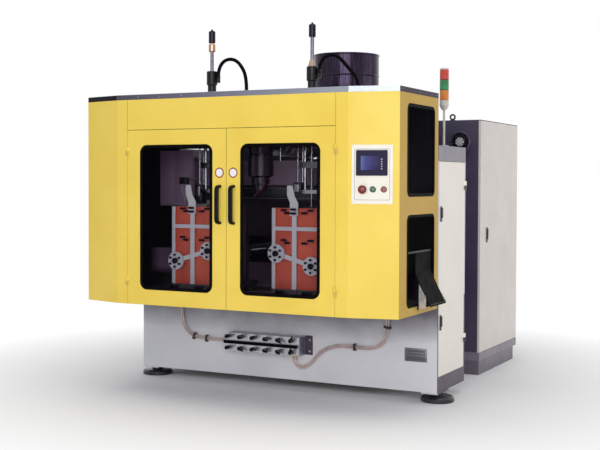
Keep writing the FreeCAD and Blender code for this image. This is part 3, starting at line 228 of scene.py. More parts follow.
def either(mask, plain, marked):
    # plain where the mask is 0 and marked where it is 1
    tree = mask.id_data
    mix = addNode(tree, "ShaderNodeMix", {"data_type": "RGBA"}, {"Factor": mask})
    for socket, value in ((mix.inputs[6], plain), (mix.inputs[7], marked)):
        if isinstance(value, str):
            socket.default_value = toLinear(value)
        else:
            tree.links.new(value, socket)
    return mix.outputs[2]


def within(spot, text):
    # mask that is 1 where each comparison holds, such as "z<0.86 y<0.19", in metres on the machine's axes
    mask = None
    for term in text.split():
        test = (under if term[1] == "<" else over)(spot["xyz".index(term[0])], float(term[2:]))
        mask = both(mask, test) if mask else test
    return mask


def layTones(material, tree, shader, cloud, tones, gloss, roughness, zones, on):
    # tone and gloss, each from a pattern and its stops; a zone is a mask and the tone that it carries,
    # and the CAD nodes named in on get the material
    colour = ramp(cloud, tones)
    if zones:
        spot = machineSpot(tree)
        for mask, tone in (zones if isinstance(zones, list) else zones(*spot)):
            colour = either(within(spot, mask) if isinstance(mask, str) else mask, colour, tone)
    tree.links.new(colour, shader.inputs["Base Color"])
    tree.links.new(ramp(gloss, roughness), shader.inputs["Roughness"])
    for name in on.split():
        nodes[name].data.materials.clear()
        nodes[name].data.materials.append(material)


def softEdges(tree, shader, radius, skin, strength, distance=0.3):
    # light catches a rounded edge of this radius in mm; skin is a height for the surface between the edges
    edge = addNode(tree, "ShaderNodeBevel", {"samples": 4, "Radius": radius / 1000})
    bump = addNode(tree, "ShaderNodeBump", {"Strength": strength, "Distance": distance / 1000},
                   {"Height": skin, "Normal": edge.outputs["Normal"]})
    tree.links.new(bump.outputs["Normal"], shader.inputs["Normal"])


def enamel(name, tones, roughness=(0.3, 0.42), peel=0.06, coat=0.2, edge=2.0, drift=420, zones=None,
           specular=0.5, ior=1.5, on=""):
    # paint on sheet or casting: slow drift of tone, uneven gloss and a fine peel
    made = material, tree, shader = newMaterial(name, {
        "IOR": ior, "Coat Weight": coat, "Coat Roughness": 0.15, "Specular IOR Level": specular})
    layTones(*made, noiseAt(tree, drift, 4), list(zip((0.24, 0.5, 0.76), tones)), noiseAt(tree, 140),
             list(zip((0.35, 0.65), roughness)), zones, on)
    # real peel is 1-2 mm; drawn at 6 mm so that it shows at this distance
    softEdges(tree, shader, edge, noiseAt(tree, 6, 2), peel, 0.4)
    return material


def metal(name, tones, roughness, grain, edge=1.0, strength=0.08, size=30, zones=None, on=""):
    # bare metal: tool marks along one way, tone and gloss from the marks
    made = material, tree, shader = newMaterial(name, {"Metallic": 1.0})
    marks = noiseAt(tree, size, 6, grain)
    layTones(*made, marks, list(zip((0.3, 0.7), tones)), marks, list(zip((0.3, 0.7), roughness)), zones, on)
    softEdges(tree, shader, edge, marks, strength)
    return material


def moulded(name, tones, roughness, pebble=3, strength=0.15, settings=None, zones=None, on=""):
    # moulded plastic or rubber: fine spark-eroded grain and a slightly uneven tone
    made = material, tree, shader = newMaterial(name, settings or {"IOR": 1.46})
    cloud, stops = noiseAt(tree, 60), (0.35, 0.65)
    layTones(*made, cloud, list(zip(stops, tones)), cloud, list(zip(stops, roughness)), zones, on)
    softEdges(tree, shader, 1.0, noiseAt(tree, pebble, 2), strength)
    return material


# where one solid carries two finishes, masks part them by place

def hoodInside(x, y, z):
    # painted shade: everything but the outer skin of the hood is near black, as its inside lies in shade
    side = sums("ABSOLUTE", x)
    gap = sums("ABSOLUTE", sums("SUBTRACT", side, (hood["flatHalf"] - hood["doorMargin"]) / 1000))
    seam = both(under(gap, 0.0011), over(z, hood["doorTop"] / 1000 - 0.001))
    # painted light: a lit mauve patch low on the rear sheet's left end
    low = ramp(z, [(0.8, 0.0), (0.86, 1.0), (1.02, 1.0), (1.05, 0.0)])
    end = ramp(sums("ADD", x, 1.2), [(0.06, 0.0), (0.15, 1.0), (0.26, 1.0), (0.28, 0.0)])
    # painted shade: the outer skin of the hood's sides is a darker yellow than its front
    onSide = over(side, hood["halfWidth"] / 1000 - 0.0006)
    onFront = under(y, 0.0006)
    off = sums("SUBTRACT", both(sums("SUBTRACT", side, hood["flatHalf"] / 1000), math.sin(chamferTurn)),
               both(y, math.cos(chamferTurn)))
    skin = sums("MAXIMUM", sums("MAXIMUM", onSide, onFront), over(off, -0.0008))
    return [(onSide, "c19b34"), (both(seam, onFront), "5a4a1c"), (sums("SUBTRACT", 1.0, skin), "0b090d"),
            (both(both(low, over(y, 0.75)), end), "715a75")]


def baseShade(x, y, z):
    # painted shadow of the hood darkens the base towards its top, broken up by noise; its right side is
    # painted shade
    high = sums("ADD", z, both(noiseAt(z.id_data, 180, 4), 0.12))
    return [(ramp(both(high, 1.2), [(0.54, 0.0), (0.8, 0.95)]), "5d5763"), ("x>1.2042", "443848")]


def roofShade(x, y, z):
    # painted reflection: along the band the tone darkens towards its left end, and it is dark on the left
    # chamfer, the left side and the right side
    paintedReflection = ramp(sums("ADD", both(x, 0.5), 0.5), [(0.06, "524f5d"), (0.45, "727284"), (0.9, "979ca6"),
                                                 (0.97, "8f949c")])
    return [("z<2.1018", paintedReflection), ("x<-0.8885 z<2.1018", "211b25"), ("x>1.2014 z<2.1018", "1e1626")]


def fanHub(x, y, z):
    # the motor's end cap in the middle of the blades is light, with seven dark spokes
    across, up = sums("SUBTRACT", x, 0.941), sums("SUBTRACT", z, 1.82)
    far = sums("SQRT", sums("ADD", both(across, across), both(up, up)))
    spoke = over(sums("SINE", both(sums("ARCTAN2", across, up), 7)), 0.55)
    inside = under(far, 0.0345)
    return [(inside, "b8b4bd"), (both(both(spoke, over(far, 0.0105)), inside), "4b4850")]


def guardTones(x, y, z):
    # painted light and shade on the sheet behind the clamps: mauve low down where light reaches it, dark
    # above as painted shade
    return [(ramp(z, [(0.86, 1.0), (0.985, 0.0)]), "6d5670")]


doorBack = [("y>0.0012", "1a1620")]  # folded backs, near black as painted shade
# the casting's machined faces and bolted bracket stay bare, its lug and foot are blackened
platenFace = [("y<0.2145", "b3b1be"), ("z>1.3305", "b9b8c0"), ("z<0.8605 y<0.1955", "1b181e"),
              ("z<0.7899", "3a363e")]
# latches are blackened and stand proud of the two ivory doors
latchTones = [("x>1.2056 y<0.95", "26222c"), ("x>1.0936 x<1.18", "26222c")]
columnCap = [("z>1.649", "7b7781"), ("z<0.1825", "443848")]  # cap band, and painted shade on the low strip below the door
# the column door's hinges are zinc, some parts phosphated
hingeTone = [("y>0.5", "b9b4ab"), ("y>0.5 z<0.393", "2c2730"), ("y>0.5 z>1.0 z<1.483", "2c2730")]
# skirt, plinth and lifting eye
cabinetBand = [("z<0.1752", "78717d"), ("z<0.1102", "625c6a"), ("z>1.9925", "060507")]
rodTones = [("z>2.4265 x<0", "a58a76"), ("z>2.489", "26222b")]  # left rod's bronze nut, black stroke knobs
coneTone = [("z>2.2898 x>0", "b39d8c")]  # bronze cone on the right cylinder's cap
trayTones = [("x<1.2162", "251e29"), ("x>1.2655", "1b171d"), ("z>1.02", "070508")]  # painted shade inside the hood, on the lip and high up
manifoldTone = [("y<0.6605", "0b0a0d"), ("x>0.2052", "4b4452")]  # bar and end caps are black nylon

# finishes, each from what the real piece is made of

yellowTones = ("e5c654", "ebcd5a", "f0d364")
greyTones = ("c3c3cb", "cecdd3", "d6d5da")
satin = (0.3, 0.45)
yellowCoat = enamel("powderCoatYellow", yellowTones, coat=0.08)  # stoved: warm, even, a soft gloss
enamel("powderCoatYellowHood", yellowTones, coat=0.04, zones=hoodInside, ior=1.28, on="hood_shell")
enamel("powderCoatYellowDoor", yellowTones, coat=0.04, zones=doorBack, ior=1.28, on="left_door right_door")
# the hood's yellow, made darker on its hinges as painted shade
enamel("powderCoatYellowHinge", ("c3a244", "cfae4c", "d9b955"), peel=0.04, edge=0.8, zones=hingeTone,
       on="hood_hinges")
enamel("machineEnamelGrey", greyTones, (0.36, 0.5), 0.12, zones=baseShade, on="base_frame")
enamel("machineEnamelGreyColumn", greyTones, (0.36, 0.5), 0.12, zones=columnCap,
       on="right_column left_column")
steelEnamel = enamel("machineEnamelDeep", ("5d5966", "6b6775", "7a7684"), (0.36, 0.5), 0.15,
                     on="blow_frames extruder_base gear_motor")
enamel("sheetEnamelDark", ("17141a", "1e1a22", "262029"), (0.4, 0.55), 0.08, zones=guardTones,
       on="rear_guard")
mauvePanel = enamel("sheetEnamelMauve", ("6e5872", "836b86", "967d98"), (0.4, 0.55), 0.1, on="cross_beam")
enamel("columnEnamelIvory", ("e6dfd5", "ebe4da", "efe9df"), (0.32, 0.46), zones=latchTones, on="column_door")
enamel("cabinetEnamelIvory", ("cfc6c1", "d6cdc8", "dcd4cf"), (0.32, 0.46), zones=latchTones,
       on="cabinet_door")
slateEnamel = enamel("cabinetEnamelSlate", ("38324a", "403952", "49425c"), (0.35, 0.5), 0.1,
                     zones=cabinetBand, on="cabinet_body")
enamel("panelEnamelIvory", ("d9d4c6", "dfdacc", "e4dfd2"), (0.3, 0.4), 0.04, edge=0.6, on="control_plate")
# sand-cast skin under the brush coats
enamel("castIronRedEnamel", ("9c3425", "b0402c", "bf4a31"), (0.34, 0.48), 0.35, drift=120, zones=platenFace,
       on="left_front_platen right_front_platen")
enamel("castIronDeepEnamel", ("241c24", "302630", "3b303b"), (0.36, 0.5), 0.4, drift=120,
       on="left_rear_platen right_rear_platen left_carriage right_carriage")
satinBlack = enamel("enamelSatinBlack", ("0d0c10", "15131a", "1f1c26"), satin, 0.1, on="levelling_pads")
enamel("enamelSatinBlackCylinders", ("08070a", "0e0c11", "151218"), satin, 0.08, 0.0, zones=coneTone,
       specular=0.22, on="blow_cylinders")
redPaint = enamel("signEnamelRed", ("86241f", "932c26", "9f362f"), (0.3, 0.4), 0.02, edge=0.4)
whitePaint = enamel("signEnamelWhite", ("e6e2e0", "ece8e6", "f0eeec"), (0.3, 0.4), 0.02, edge=0.4)
metal("stainlessBrushed", ("a9adb9", "c9cdd8"), satin, (1, 12, 12), zones=roofShade, on="hood_roof")
metal("zincedSheet", ("b9b6b4", "d6d3cf"), (0.32, 0.48), (1, 4, 1), zones=trayTones, on="chute_tray")
turnedSteel = metal("steelTurned", ("6d6b74", "9a98a2"), (0.25, 0.42), (3, 3, 12),
                    on="extruder_barrel extruder_screw")
metal("steelHeatBlued", ("27252c", "413e49"), satin, (3, 3, 12), on="die_head")
metal("steelGround", ("85858d", "b2b2ba"), (0.16, 0.3), (1, 6, 6), 0.5, 0.03, on="guide_rails")
# rods: near mirror
hardChrome = metal("hardChrome", ("7c7b85", "a6a5ae"), (0.08, 0.16), (6, 6, 1), 0.5, 0.01,
                   on="guide_rods left_tie_bars right_tie_bars")
# the blow pins' chrome is darker than the rods': a painted reflection of dark surroundings
metal("hardChromePins", ("4c4a53", "6e6c76"), (0.12, 0.22), (6, 6, 1), 0.5, 0.01, zones=rodTones,
      on="left_blow_pin right_blow_pin")
milledAlloy = metal("aluminiumMilled", ("8f8f99", "b6b6bf"), (0.25, 0.4), (8, 1, 1),
                    on="left_front_mould right_front_mould left_rear_mould right_rear_mould")
metal("manifoldAlloy", ("9f9da6", "c6c4cc"), satin, (8, 1, 1), zones=manifoldTone, on="manifold_block")
zincPlate = metal("zincPlatedSteel", ("8e8c88", "b9b6ad"), (0.26, 0.42), (2, 2, 2), 0.5, 0.05, 12)
blackOxide = metal("blackOxideSteel", ("131217", "26232c"), satin, (2, 2, 2), 0.5, 0.08, 12)
# rolled drum; painted sheen: lighter streaks of tone run up it as its highlights
lacquerSteel = metal("steelLacqueredBlack", ("121013", "40374a"), (0.14, 0.26), (9, 9, 0.35), 2.0, 0.04, 60)
brass = metal("brassTurned", ("9c7c48", "c6a068"), (0.22, 0.36), (3, 3, 8), 0.5, 0.05, 12)
blackRubber = moulded("rubberBlack", ("030203", "0a080b"), (0.5, 0.65),
                      settings={"IOR": 1.15, "Specular IOR Level": 0.3})
blackPlastic = moulded("nylonBlack", ("121015", "1f1b22"), (0.28, 0.4), on="hose_clips")
handlePlastic = moulded("handleNylonBlack", ("060406", "0f0c10"), (0.22, 0.32), 3, 0.06,
                        {"IOR": 1.25, "Specular IOR Level": 0.4})
moulded("absSlateBlue", ("1c1830", "26213e"), (0.3, 0.42), 3, 0.12, {"IOR": 1.2, "Specular IOR Level": 0.4},
        on="display")
ivoryPlastic = moulded("absIvory", ("c2bdb5", "d2cdc5"), (0.35, 0.48), on="lamp_post")
moulded("fanThermoplastBlack", ("19161f", "262230"), (0.4, 0.5), zones=fanHub, on="fan_wheel")
redPlastic = moulded("buttonRed", ("8f1f20", "a82a2a"), (0.2, 0.3), 8, 0.04)
deepRedPlastic = moulded("mushroomRed", ("641412", "7a1c18"), (0.2, 0.3), 8, 0.04)
greenPlastic = moulded("buttonGreen", ("0c5f48", "14745a"), (0.2, 0.3), 8, 0.04)
clearHose = moulded("pvcHoseClear", ("cbb3b0", "e6d2cf"), (0.12, 0.24), 20, 0.05,
                    {"IOR": 1.5, "Transmission Weight": 0.4, "Coat Weight": 0.5, "Coat Roughness": 0.08})

# clear acrylic guard pane: all but unseen, with a faint gloss that is duller where hands have wiped it
acrylic, paneTree, paneShader = newMaterial("acrylicPane", {
    "Base Color": toLinear("17121c"), "IOR": 1.12, "Specular IOR Level": 0.07, "Alpha": 0.1})
wiped = ramp(noiseAt(paneTree, 350, 2), [(0.3, 0.03), (0.7, 0.12)])
paneTree.links.new(wiped, paneShader.inputs["Roughness"])
for things, finish in (([nodes[side + "_pane"] for side in ("left", "right", "side")], acrylic),
                       (waterHoses, clearHose), (airHoses, blackRubber)):
    for thing in things:
        thing.data.materials.clear()
        thing.data.materials.append(finish)
print("finishes laid on")

# pieces: makers of plain shapes in mesh code

def fromMesh(name, shape, body, finishes, smooth=35):
    # a shape becomes a piece that rides on a body; edges under the angle are shaded round
    bmesh.ops.remove_doubles(shape, verts=shape.verts, dist=0.00001)
    bmesh.ops.recalc_face_normals(shape, faces=shape.faces)
    mesh = bpy.data.meshes.new(name)
    shape.to_mesh(mesh)
    shape.free()
    for finish in finishes:
        mesh.materials.append(finish)
    piece = newObject(name, mesh)
    for face in mesh.polygons:
        face.use_smooth = True
    mesh.set_sharp_from_angle(angle=math.radians(smooth))
    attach(piece, body)
    return piece


def joinTo(shape, part, finish=0):
    bmesh.ops.recalc_face_normals(part, faces=part.faces)
    twin = {vert: shape.verts.new(vert.co) for vert in part.verts}
    for face in part.faces:
        shape.faces.new([twin[v] for v in face.verts]).material_index = finish
    part.free()


def bridge(part, rings, closed=True):
    # faces between neighbouring rings of points
    for one, two in zip(rings, rings[1:]):
        for i in range(len(one) if closed else len(one) - 1):
            j = (i + 1) % len(one)
            part.faces.new([one[i], one[j], two[j], two[i]])


def bridgeAndCap(part, rings):
    bridge(part, rings)
    part.faces.new(list(reversed(rings[0])))
    part.faces.new(rings[-1])


def addBlock(shape, low, high, bevel=0.0, finish=0, put=place):
    # block between two points, its edges rounded by bevel mm
    part = bmesh.new()
    bmesh.ops.create_cube(part, size=1)
    middle, size = (Vector(low) + Vector(high)) / 2, Vector(high) - Vector(low)
    for vert in part.verts:
        vert.co = put(*[middle[i] + vert.co[i] * size[i] for i in range(3)])
    if bevel:
        bmesh.ops.bevel(part, geom=list(part.edges), offset=bevel / 1000, segments=2, affect="EDGES",
                        profile=0.5)
    joinTo(shape, part, finish)


def addTurned(shape, profile, at, way=upward, steps=32, finish=0):
    # radius and height pairs in mm turned about way through a frame point
    turn = upward.rotation_difference(way).to_matrix()
    part = bmesh.new()
    rings = []
    for radius, height in profile:
        angles = [2 * math.pi * i / steps for i in range(steps)] if radius >= 0.01 else [0]
        spots = [Vector((radius * math.cos(a), radius * math.sin(a), height)) / 1000 for a in angles]
        rings.append([part.verts.new(at + turn @ spot) for spot in spots])
    for one, two in zip(rings, rings[1:]):
        for i in range(steps):
            j = (i + 1) % steps
            corners = [one[i % len(one)], one[j % len(one)], two[j % len(two)], two[i % len(two)]]
            corners = [c for n, c in enumerate(corners) if c not in corners[:n]]
            if len(corners) > 2:
                part.faces.new(corners)
    joinTo(shape, part, finish)


def addRing(shape, outline, profile, across, deep, at):
    # closed profile of inset and depth pairs swept round a closed outline of mm points in a plane
    part = bmesh.new()
    rings = []
    for i, point in enumerate(outline):
        here = Vector(point)
        before = (here - Vector(outline[i - 1])).normalized()
        after = (Vector(outline[(i + 1) % len(outline)]) - here).normalized()
        inward = Vector((-before.y - after.y, before.x + after.x))
        inward = inward * (2 / inward.length_squared)
        spots = [(here + inward * inset, depth) for inset, depth in profile]
        rings.append([part.verts.new(at + (across * s.x + upward * s.y + deep * depth) / 1000)
                      for s, depth in spots])
    bridge(part, rings + rings[:1])
    joinTo(shape, part)


def roundedOutline(left, right, low, high, radius, steps=8):
    # counter-clockwise outline of a rectangle with round corners
    points = []
    for x, z, start in ((right - radius, low + radius, -90), (right - radius, high - radius, 0),
                        (left + radius, high - radius, 90), (left + radius, low + radius, 180)):
        for i in range(steps + 1):
            turn = math.radians(start + 90 * i / steps)
            points.append((x + radius * math.cos(turn), z + radius * math.sin(turn)))
    return points


def addPrism(shape, corners, push):
    # flat outline of frame points pushed to a solid
    part = bmesh.new()
    bridgeAndCap(part, [[part.verts.new(c + by) for c in corners] for by in (Vector(), push)])
    joinTo(shape, part)


def addPipe(shape, points, radius, steps=10, finish=0):
    # rigid pipe or rod through machine or frame points, with mitred bends
    part = bmesh.new()
    points = [p if isinstance(p, Vector) else place(*p) for p in points]
    rings = []
    side = None
    for i, point in enumerate(points):
        along = (points[min(i + 1, len(points) - 1)] - points[max(i - 1, 0)]).normalized()
        side = (side - along * side.dot(along)).normalized() if side else along.orthogonal().normalized()
        other = along.cross(side)
        angles = [2 * math.pi * j / steps for j in range(steps)]
        rings.append([part.verts.new(point + (side * math.cos(a) + other * math.sin(a)) * radius / 1000)
                      for a in angles])
    bridgeAndCap(part, rings)
    joinTo(shape, part, finish)


def assemble(name, body, finishes, smooth=35, blocks=(), turned=(), pipes=()):
    # a piece from lists of what its makers are given
    shape = bmesh.new()
    for maker, items in ((addBlock, blocks), (addTurned, turned), (addPipe, pipes)):
        for given in items:
            maker(shape, *given)
    return fromMesh(name, shape, body, finishes, smooth)


def headTree(finish, socket):
    # geometry nodes that set a screw or rivet head on each point, along its facing
    tree = bpy.data.node_groups.new("heads_" + finish.name, "GeometryNodeTree")
    for label, kind in (("Geometry", "Geometry"), ("Radius", "Float"), ("Height", "Float"), ("Sides", "Int")):
        tree.interface.new_socket(label, in_out="INPUT", socket_type="NodeSocket" + kind)
    tree.interface.new_socket("Geometry", in_out="OUTPUT", socket_type="NodeSocketGeometry")
    given = addNode(tree, "NodeGroupInput").outputs
    up = {"Offset": (0, 0, 1), "Individual": False}
    base = addNode(tree, "GeometryNodeMeshCircle", {"fill_type": "NGON"},
                   {"Vertices": given["Sides"], "Radius": given["Radius"]})
    body = addNode(tree, "GeometryNodeExtrudeMesh", up,
                   {"Mesh": base.outputs[0], "Offset Scale": given["Height"]})
    rim = addNode(tree, "GeometryNodeExtrudeMesh", {**up, "Offset Scale": 0.0},
                  {"Mesh": body.outputs["Mesh"], "Selection": body.outputs["Top"]})
    narrow = addNode(tree, "GeometryNodeScaleElements", {"Scale": 0.55 if socket else 0.8},
                     {"Geometry": rim.outputs["Mesh"], "Selection": rim.outputs["Top"]})
    sink = both(given["Height"], -0.7 if socket else 0.25)
    drive = addNode(tree, "GeometryNodeExtrudeMesh", up,
                    {"Mesh": narrow.outputs[0], "Selection": rim.outputs["Top"], "Offset Scale": sink})
    facing = addNode(tree, "GeometryNodeInputNamedAttribute", {"data_type": "FLOAT_VECTOR", "Name": "facing"})
    turn = addNode(tree, "FunctionNodeAlignRotationToVector", {"axis": "Z"}, {"Vector": facing.outputs[0]})
    placed = addNode(tree, "GeometryNodeInstanceOnPoints", links={
        "Points": given["Geometry"], "Instance": drive.outputs["Mesh"], "Rotation": turn.outputs[0]})
    real = addNode(tree, "GeometryNodeRealizeInstances", links={0: placed.outputs[0]})
    painted = addNode(tree, "GeometryNodeSetMaterial", {"Material": finish}, {"Geometry": real.outputs[0]})
    addNode(tree, "NodeGroupOutput", links={0: painted.outputs[0]})
    return tree


headTrees = {}


def heads(name, body, spots, radius, height, corners, finish, socket=True):
    # spots are frame points with the way that each head faces; sizes in mm
    mesh = bpy.data.meshes.new(name)
    mesh.from_pydata([tuple(point) for point, way in spots], [], [])
    facing = mesh.attributes.new("facing", "FLOAT_VECTOR", "POINT")
    for i, (point, way) in enumerate(spots):
        facing.data[i].vector = way
    host = newObject(name, mesh)
    key = (finish.name, socket)
    if key not in headTrees:
        headTrees[key] = headTree(finish, socket)
    modifier = host.modifiers.new("heads", "NODES")
    modifier.node_group = headTrees[key]
    values = {"Radius": radius / 1000, "Height": height / 1000, "Sides": corners}
    for item in headTrees[key].interface.items_tree:
        if item.in_out == "INPUT" and item.name in values:
            modifier[item.identifier] = values[item.name]
    plain = bpy.data.meshes.new_from_object(host.evaluated_get(bpy.context.evaluated_depsgraph_get()))
    host.modifiers.clear()
    host.data = plain
    plain.name = name
    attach(host, body)


# rubber seals: rounded lips round each window, gripping the sheet, with a filler strip's groove

seals = {"doorWindow": (107, 694, 758, 1755, 55), "sideWindow": (203, 693, 1412, 2005, 45),
         "outlet": (203, 693, 705, 1298, 45)}
sealLip = [(0.2, -0.02), (0.6, -1.5), (2.6, -2.7), (8, -3), (10.5, -2.9), (12, -2.1), (13.5, -2.9)]
sealGrip = [(18, 7.9), (8.02, 7.9), (8.02, -0.02)]
glazedSeal = sealLip + [(16, -3), (20.5, -2.6), (22.6, -1.4), (23, -0.05), (18, -0.04)] + sealGrip
openSeal = sealLip + [(16, -2.7), (17.7, -1.4), (18, 0)] + sealGrip
for side, label in sides:
    shape = bmesh.new()
    near, far, low, high, radius = seals["doorWindow"]
    left, right = sorted((side * near, side * far))
    addRing(shape, roundedOutline(left, right, low, high, radius), glazedSeal, toRight, -forward,
            place(0, 0, 0))
    piece = fromMesh("seal_" + label, shape, label + "_door", [blackRubber], 50)
    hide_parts(label + "_seal")
shape = bmesh.new()
for window, profile in (("sideWindow", glazedSeal), ("outlet", openSeal)):
    addRing(shape, roundedOutline(*seals[window]), profile, -forward, -toRight,
            place(hood["halfWidth"], 0, 0))
piece = fromMesh("seal_side", shape, "frame", [blackRubber], 50)
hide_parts("side_seals")
print("seals made")


# pellet drum: rolled shell with swages and a beaded rim over its cone and spout

drum = {"at": (0, 1871, 1930),
        "profile": [(45, 0), (83, 0), (83, 15), (60, 15), (60, 60), (262, 218.5), (264, 223), (264, 417),
                    (266.5, 419), (268, 423), (266.5, 427), (264, 429), (264, 583), (267, 585.5), (268, 590),
                    (267.6, 595), (265, 597), (262, 596.5), (261, 593), (261, 223), (45, 62), (45, 0)]}
piece = assemble("pelletDrum", "frame", [lacquerSteel], 40,
                 turned=[(drum["profile"], place(*drum["at"]), upward, 96)])
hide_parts("drum_hopper")

# signal lamp: three ribbed lenses with dark joints and a light cap

lamp = {"at": (1140, 1040), "radius": 32, "bounds": (2075, 2146, 2217.5, 2289), "rib": 6.5, "cap": 12,
        "end": 3, "tones": (("acrylicOrange", ("d06f16", "e58a25")), ("acrylicGreen", ("157a40", "23985a")),
                            ("acrylicRed", ("c02a1c", "d8422c")))}
r = lamp["radius"]
for number, (label, tones) in enumerate(lamp["tones"]):
    low, high = lamp["bounds"][number:number + 2]
    tall = high - low - 2 * lamp["end"]
    ribs = int(tall / lamp["rib"])
    profile = [(0, 0), (r - 3, 0), (r - 2, 2)]
    for rib in range(ribs):
        z = lamp["end"] + rib * tall / ribs
        profile += [(r - 0.9, z), (r, z + 1.6), (r - 0.2, z + 3.4)]
    profile += [(r - 2, high - low - 2), (r - 3, high - low), (0, high - low)]
    finish = moulded(label, tones, (0.12, 0.22), 30, 0.02,
                     {"IOR": 1.49, "Transmission Weight": 0.12, "Coat Weight": 0.4})
    piece = assemble("lampLens_%d" % number, "frame", [finish], 30,
                     turned=[(profile, place(*lamp["at"], low), upward, 40)])
    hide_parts("lamp_lenses")
cap = [(0, 0), (r - 1, 0), (r - 1, 3), (r - 3, 8), (r - 10, 11), (0, lamp["cap"])]
joint = [(r - 4, -1.5), (r - 1, -1.5), (r - 1, 1.5), (r - 4, 1.5), (r - 4, -1.5)]
assemble("lampCap", "frame", [ivoryPlastic, blackPlastic], 30,
         turned=[(cap, place(*lamp["at"], lamp["bounds"][3]), upward, 40)]
         + [(joint, place(*lamp["at"], z), upward, 40, 1) for z in lamp["bounds"][1:3]])
print("drum and lamp made")


# operator panel: printed border, screen, keys, ringed buttons and corner screws; along the chamfer, and up

panel = {"face": 4, "border": (41, 265, 1393, 1712, 3, 3), "line": 2.6, "screen": (82, 201, 1579, 1671),
         "screenOut": 11.2, "keys": (214, (1648, 1633, 1618, 1603, 1588)), "keyHalf": (5, 4),
         "keyOut": (12.5, 14.4), "stop": (93, 1459), "start": (158, 1460), "reset": (227, 1460),
         "corners": ((31, 1377), (276, 1377), (31, 1730), (276, 1730)),
         "ring": [(13.4, 4), (13.4, 8.5), (14.6, 10), (17.5, 9.6), (19.2, 7.6), (19.2, 4)],
         "stopRing": [(13.2, 4), (13.2, 9), (15, 10.1), (21.5, 9.7), (24, 7.6), (24.5, 4)],
         "cap": [(0, 4.2), (13, 4.2), (13, 10.6), (12.2, 12.2), (9, 13.2), (5, 12.7), (0, 12.4)],
         "mushroom": [(0, 5), (12.5, 5), (12.5, 15.6), (20, 16.2), (25.2, 18), (26.8, 21), (26.2, 25),
                      (22.5, 29.4), (15, 32.2), (7, 33.3), (0, 33.6)]}


def onPanel(along, back, height):
    return onChamfer(along, height, -back)


def screenMaterial(left, right):
    # lit liquid-crystal screen: paler blue at its left, violet at its right, behind a matt film
    material, tree, shader = newMaterial("lcdScreen", {
        "IOR": 1.45, "Roughness": 0.4, "Emission Strength": 0.08, "Specular IOR Level": 0.12})
    start, end = [(hood["flatHalf"] + along * math.cos(chamferTurn)) / 1000 for along in (left, right)]
    along = sums("DIVIDE", sums("SUBTRACT", machineSpot(tree)[0], start), end - start)
    tone = ramp(sums("ADD", along, both(noiseAt(tree, 22, 2), 0.2)),
                [(0.1, "5d6a9c"), (0.4, "43427a"), (0.75, "332d5c"), (1.0, "2a254c")])
    tree.links.new(tone, shader.inputs["Base Color"])
    tree.links.new(tone, shader.inputs["Emission Color"])
    return material


shape = bmesh.new()
inner, outer = -panel["face"] + 0.3, -panel["face"] - 0.25
line = [(0, inner), (0, outer), (panel["line"], outer), (panel["line"], inner)]
addRing(shape, roundedOutline(*panel["border"]), line, slantAlong, -slantOut, onChamfer(0, 0))
printBlue = enamel("printBlueGrey", ("6d6a86", "76738e", "7f7c96"), (0.3, 0.4), 0.02, edge=0.3)
fromMesh("panelBorder", shape, "frame", [printBlue])
left, right, low, high = panel["screen"]
out = panel["screenOut"]
assemble("screen", "frame", [screenMaterial(left, right)],
         blocks=[((left, -out, low), (right, 1 - out, high), 0.3, 0, onPanel)])
middle, heights = panel["keys"]
wide, tall = panel["keyHalf"]
inner, outer = panel["keyOut"]
keyPlastic = moulded("absKeyGrey", ("8d89a6", "aaa6c2"), (0.3, 0.4))
assemble("screenKeys", "frame", [keyPlastic], blocks=[
    ((middle - wide, -outer, z - tall), (middle + wide, -inner, z + tall), 0.9, 0, onPanel) for z in heights])
assemble("buttonRings", "frame", [blackOxide], 40, turned=[
    (panel[ring], onChamfer(*panel[label]), slantOut, 36)
    for label, ring in (("start", "ring"), ("reset", "ring"), ("stop", "stopRing"))])
for label, finish in (("start", greenPlastic), ("reset", redPlastic)):
    piece = assemble("buttonCap_" + label, label + "_button", [finish], 40,
                     turned=[(panel["cap"], onChamfer(*panel[label]), slantOut, 36)])
    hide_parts(label + "_button")
piece = assemble("stopMushroom", "stop_button", [deepRedPlastic], 50,
                 turned=[(panel["mushroom"], onChamfer(*panel["stop"]), slantOut, 44)])
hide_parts("stop_button")
heads("panelScrews", "frame", [(onChamfer(*at, panel["face"]), slantOut) for at in panel["corners"]],
      3.6, 1.8, 16, zincPlate)
print("panel dressed")


# door signs: plain discs with a red ring

sign = {"x": 53, "z": 1564, "radius": 34.5, "ring": 8.5}
outer, inner = sign["radius"], sign["radius"] - sign["ring"]
disc = [(0, 1.0), (inner, 1.0), (inner, 0), (0, 0)]
ring = [(inner, 0), (inner, 1.3), (outer - 1, 1.3), (outer, 0.6), (outer, 0), (inner, 0)]
for side, label in sides:
    at = place(side * sign["x"], 0, sign["z"])
    assemble("sign_" + label, label + "_door", [whitePaint, redPaint], 40,
             turned=[(disc, at, forward, 40), (ring, at, forward, 40, 1)])

# nameplate of the column: bare alloy with three plain bars

plate = {"left": 968, "right": 1132, "low": 281, "high": 374, "y": 761, "thick": 1.2,
         "bars": ((293, 322), (328, 340), (346, 362)), "barMargin": 12, "rivetMargin": 6}
left, right, y, inset = plate["left"], plate["right"], plate["y"], plate["barMargin"]
plateAlloy = metal("nameplateAlloy", ("5f6066", "85868c"), (0.35, 0.5), (1, 8, 8), 0.3, 0.04, 10)
etchedDark = enamel("etchedEnamelDark", ("3a3942", "46454e", "525159"), (0.35, 0.45), 0.05, edge=0.3)
assemble("nameplate", "frame", [plateAlloy, etchedDark], blocks=[
    ((left, y - plate["thick"], plate["low"]), (right, y, plate["high"]), 0.4)] + [
    ((left + inset, y - 1.5, low), (right - inset, y - 1, high), 0.2, 1) for low, high in plate["bars"]])
inset = plate["rivetMargin"]
heads("nameplateRivets", "frame",
      [(place(x, y - plate["thick"], z), forward) for x in (left + inset, right - inset)
       for z in (plate["low"] + inset, plate["high"] - inset)], 2.6, 1.2, 12, milledAlloy, False)

# clamp stations: socket screws and end plugs of the tie bars, bars in the slots, feet at the lower edge

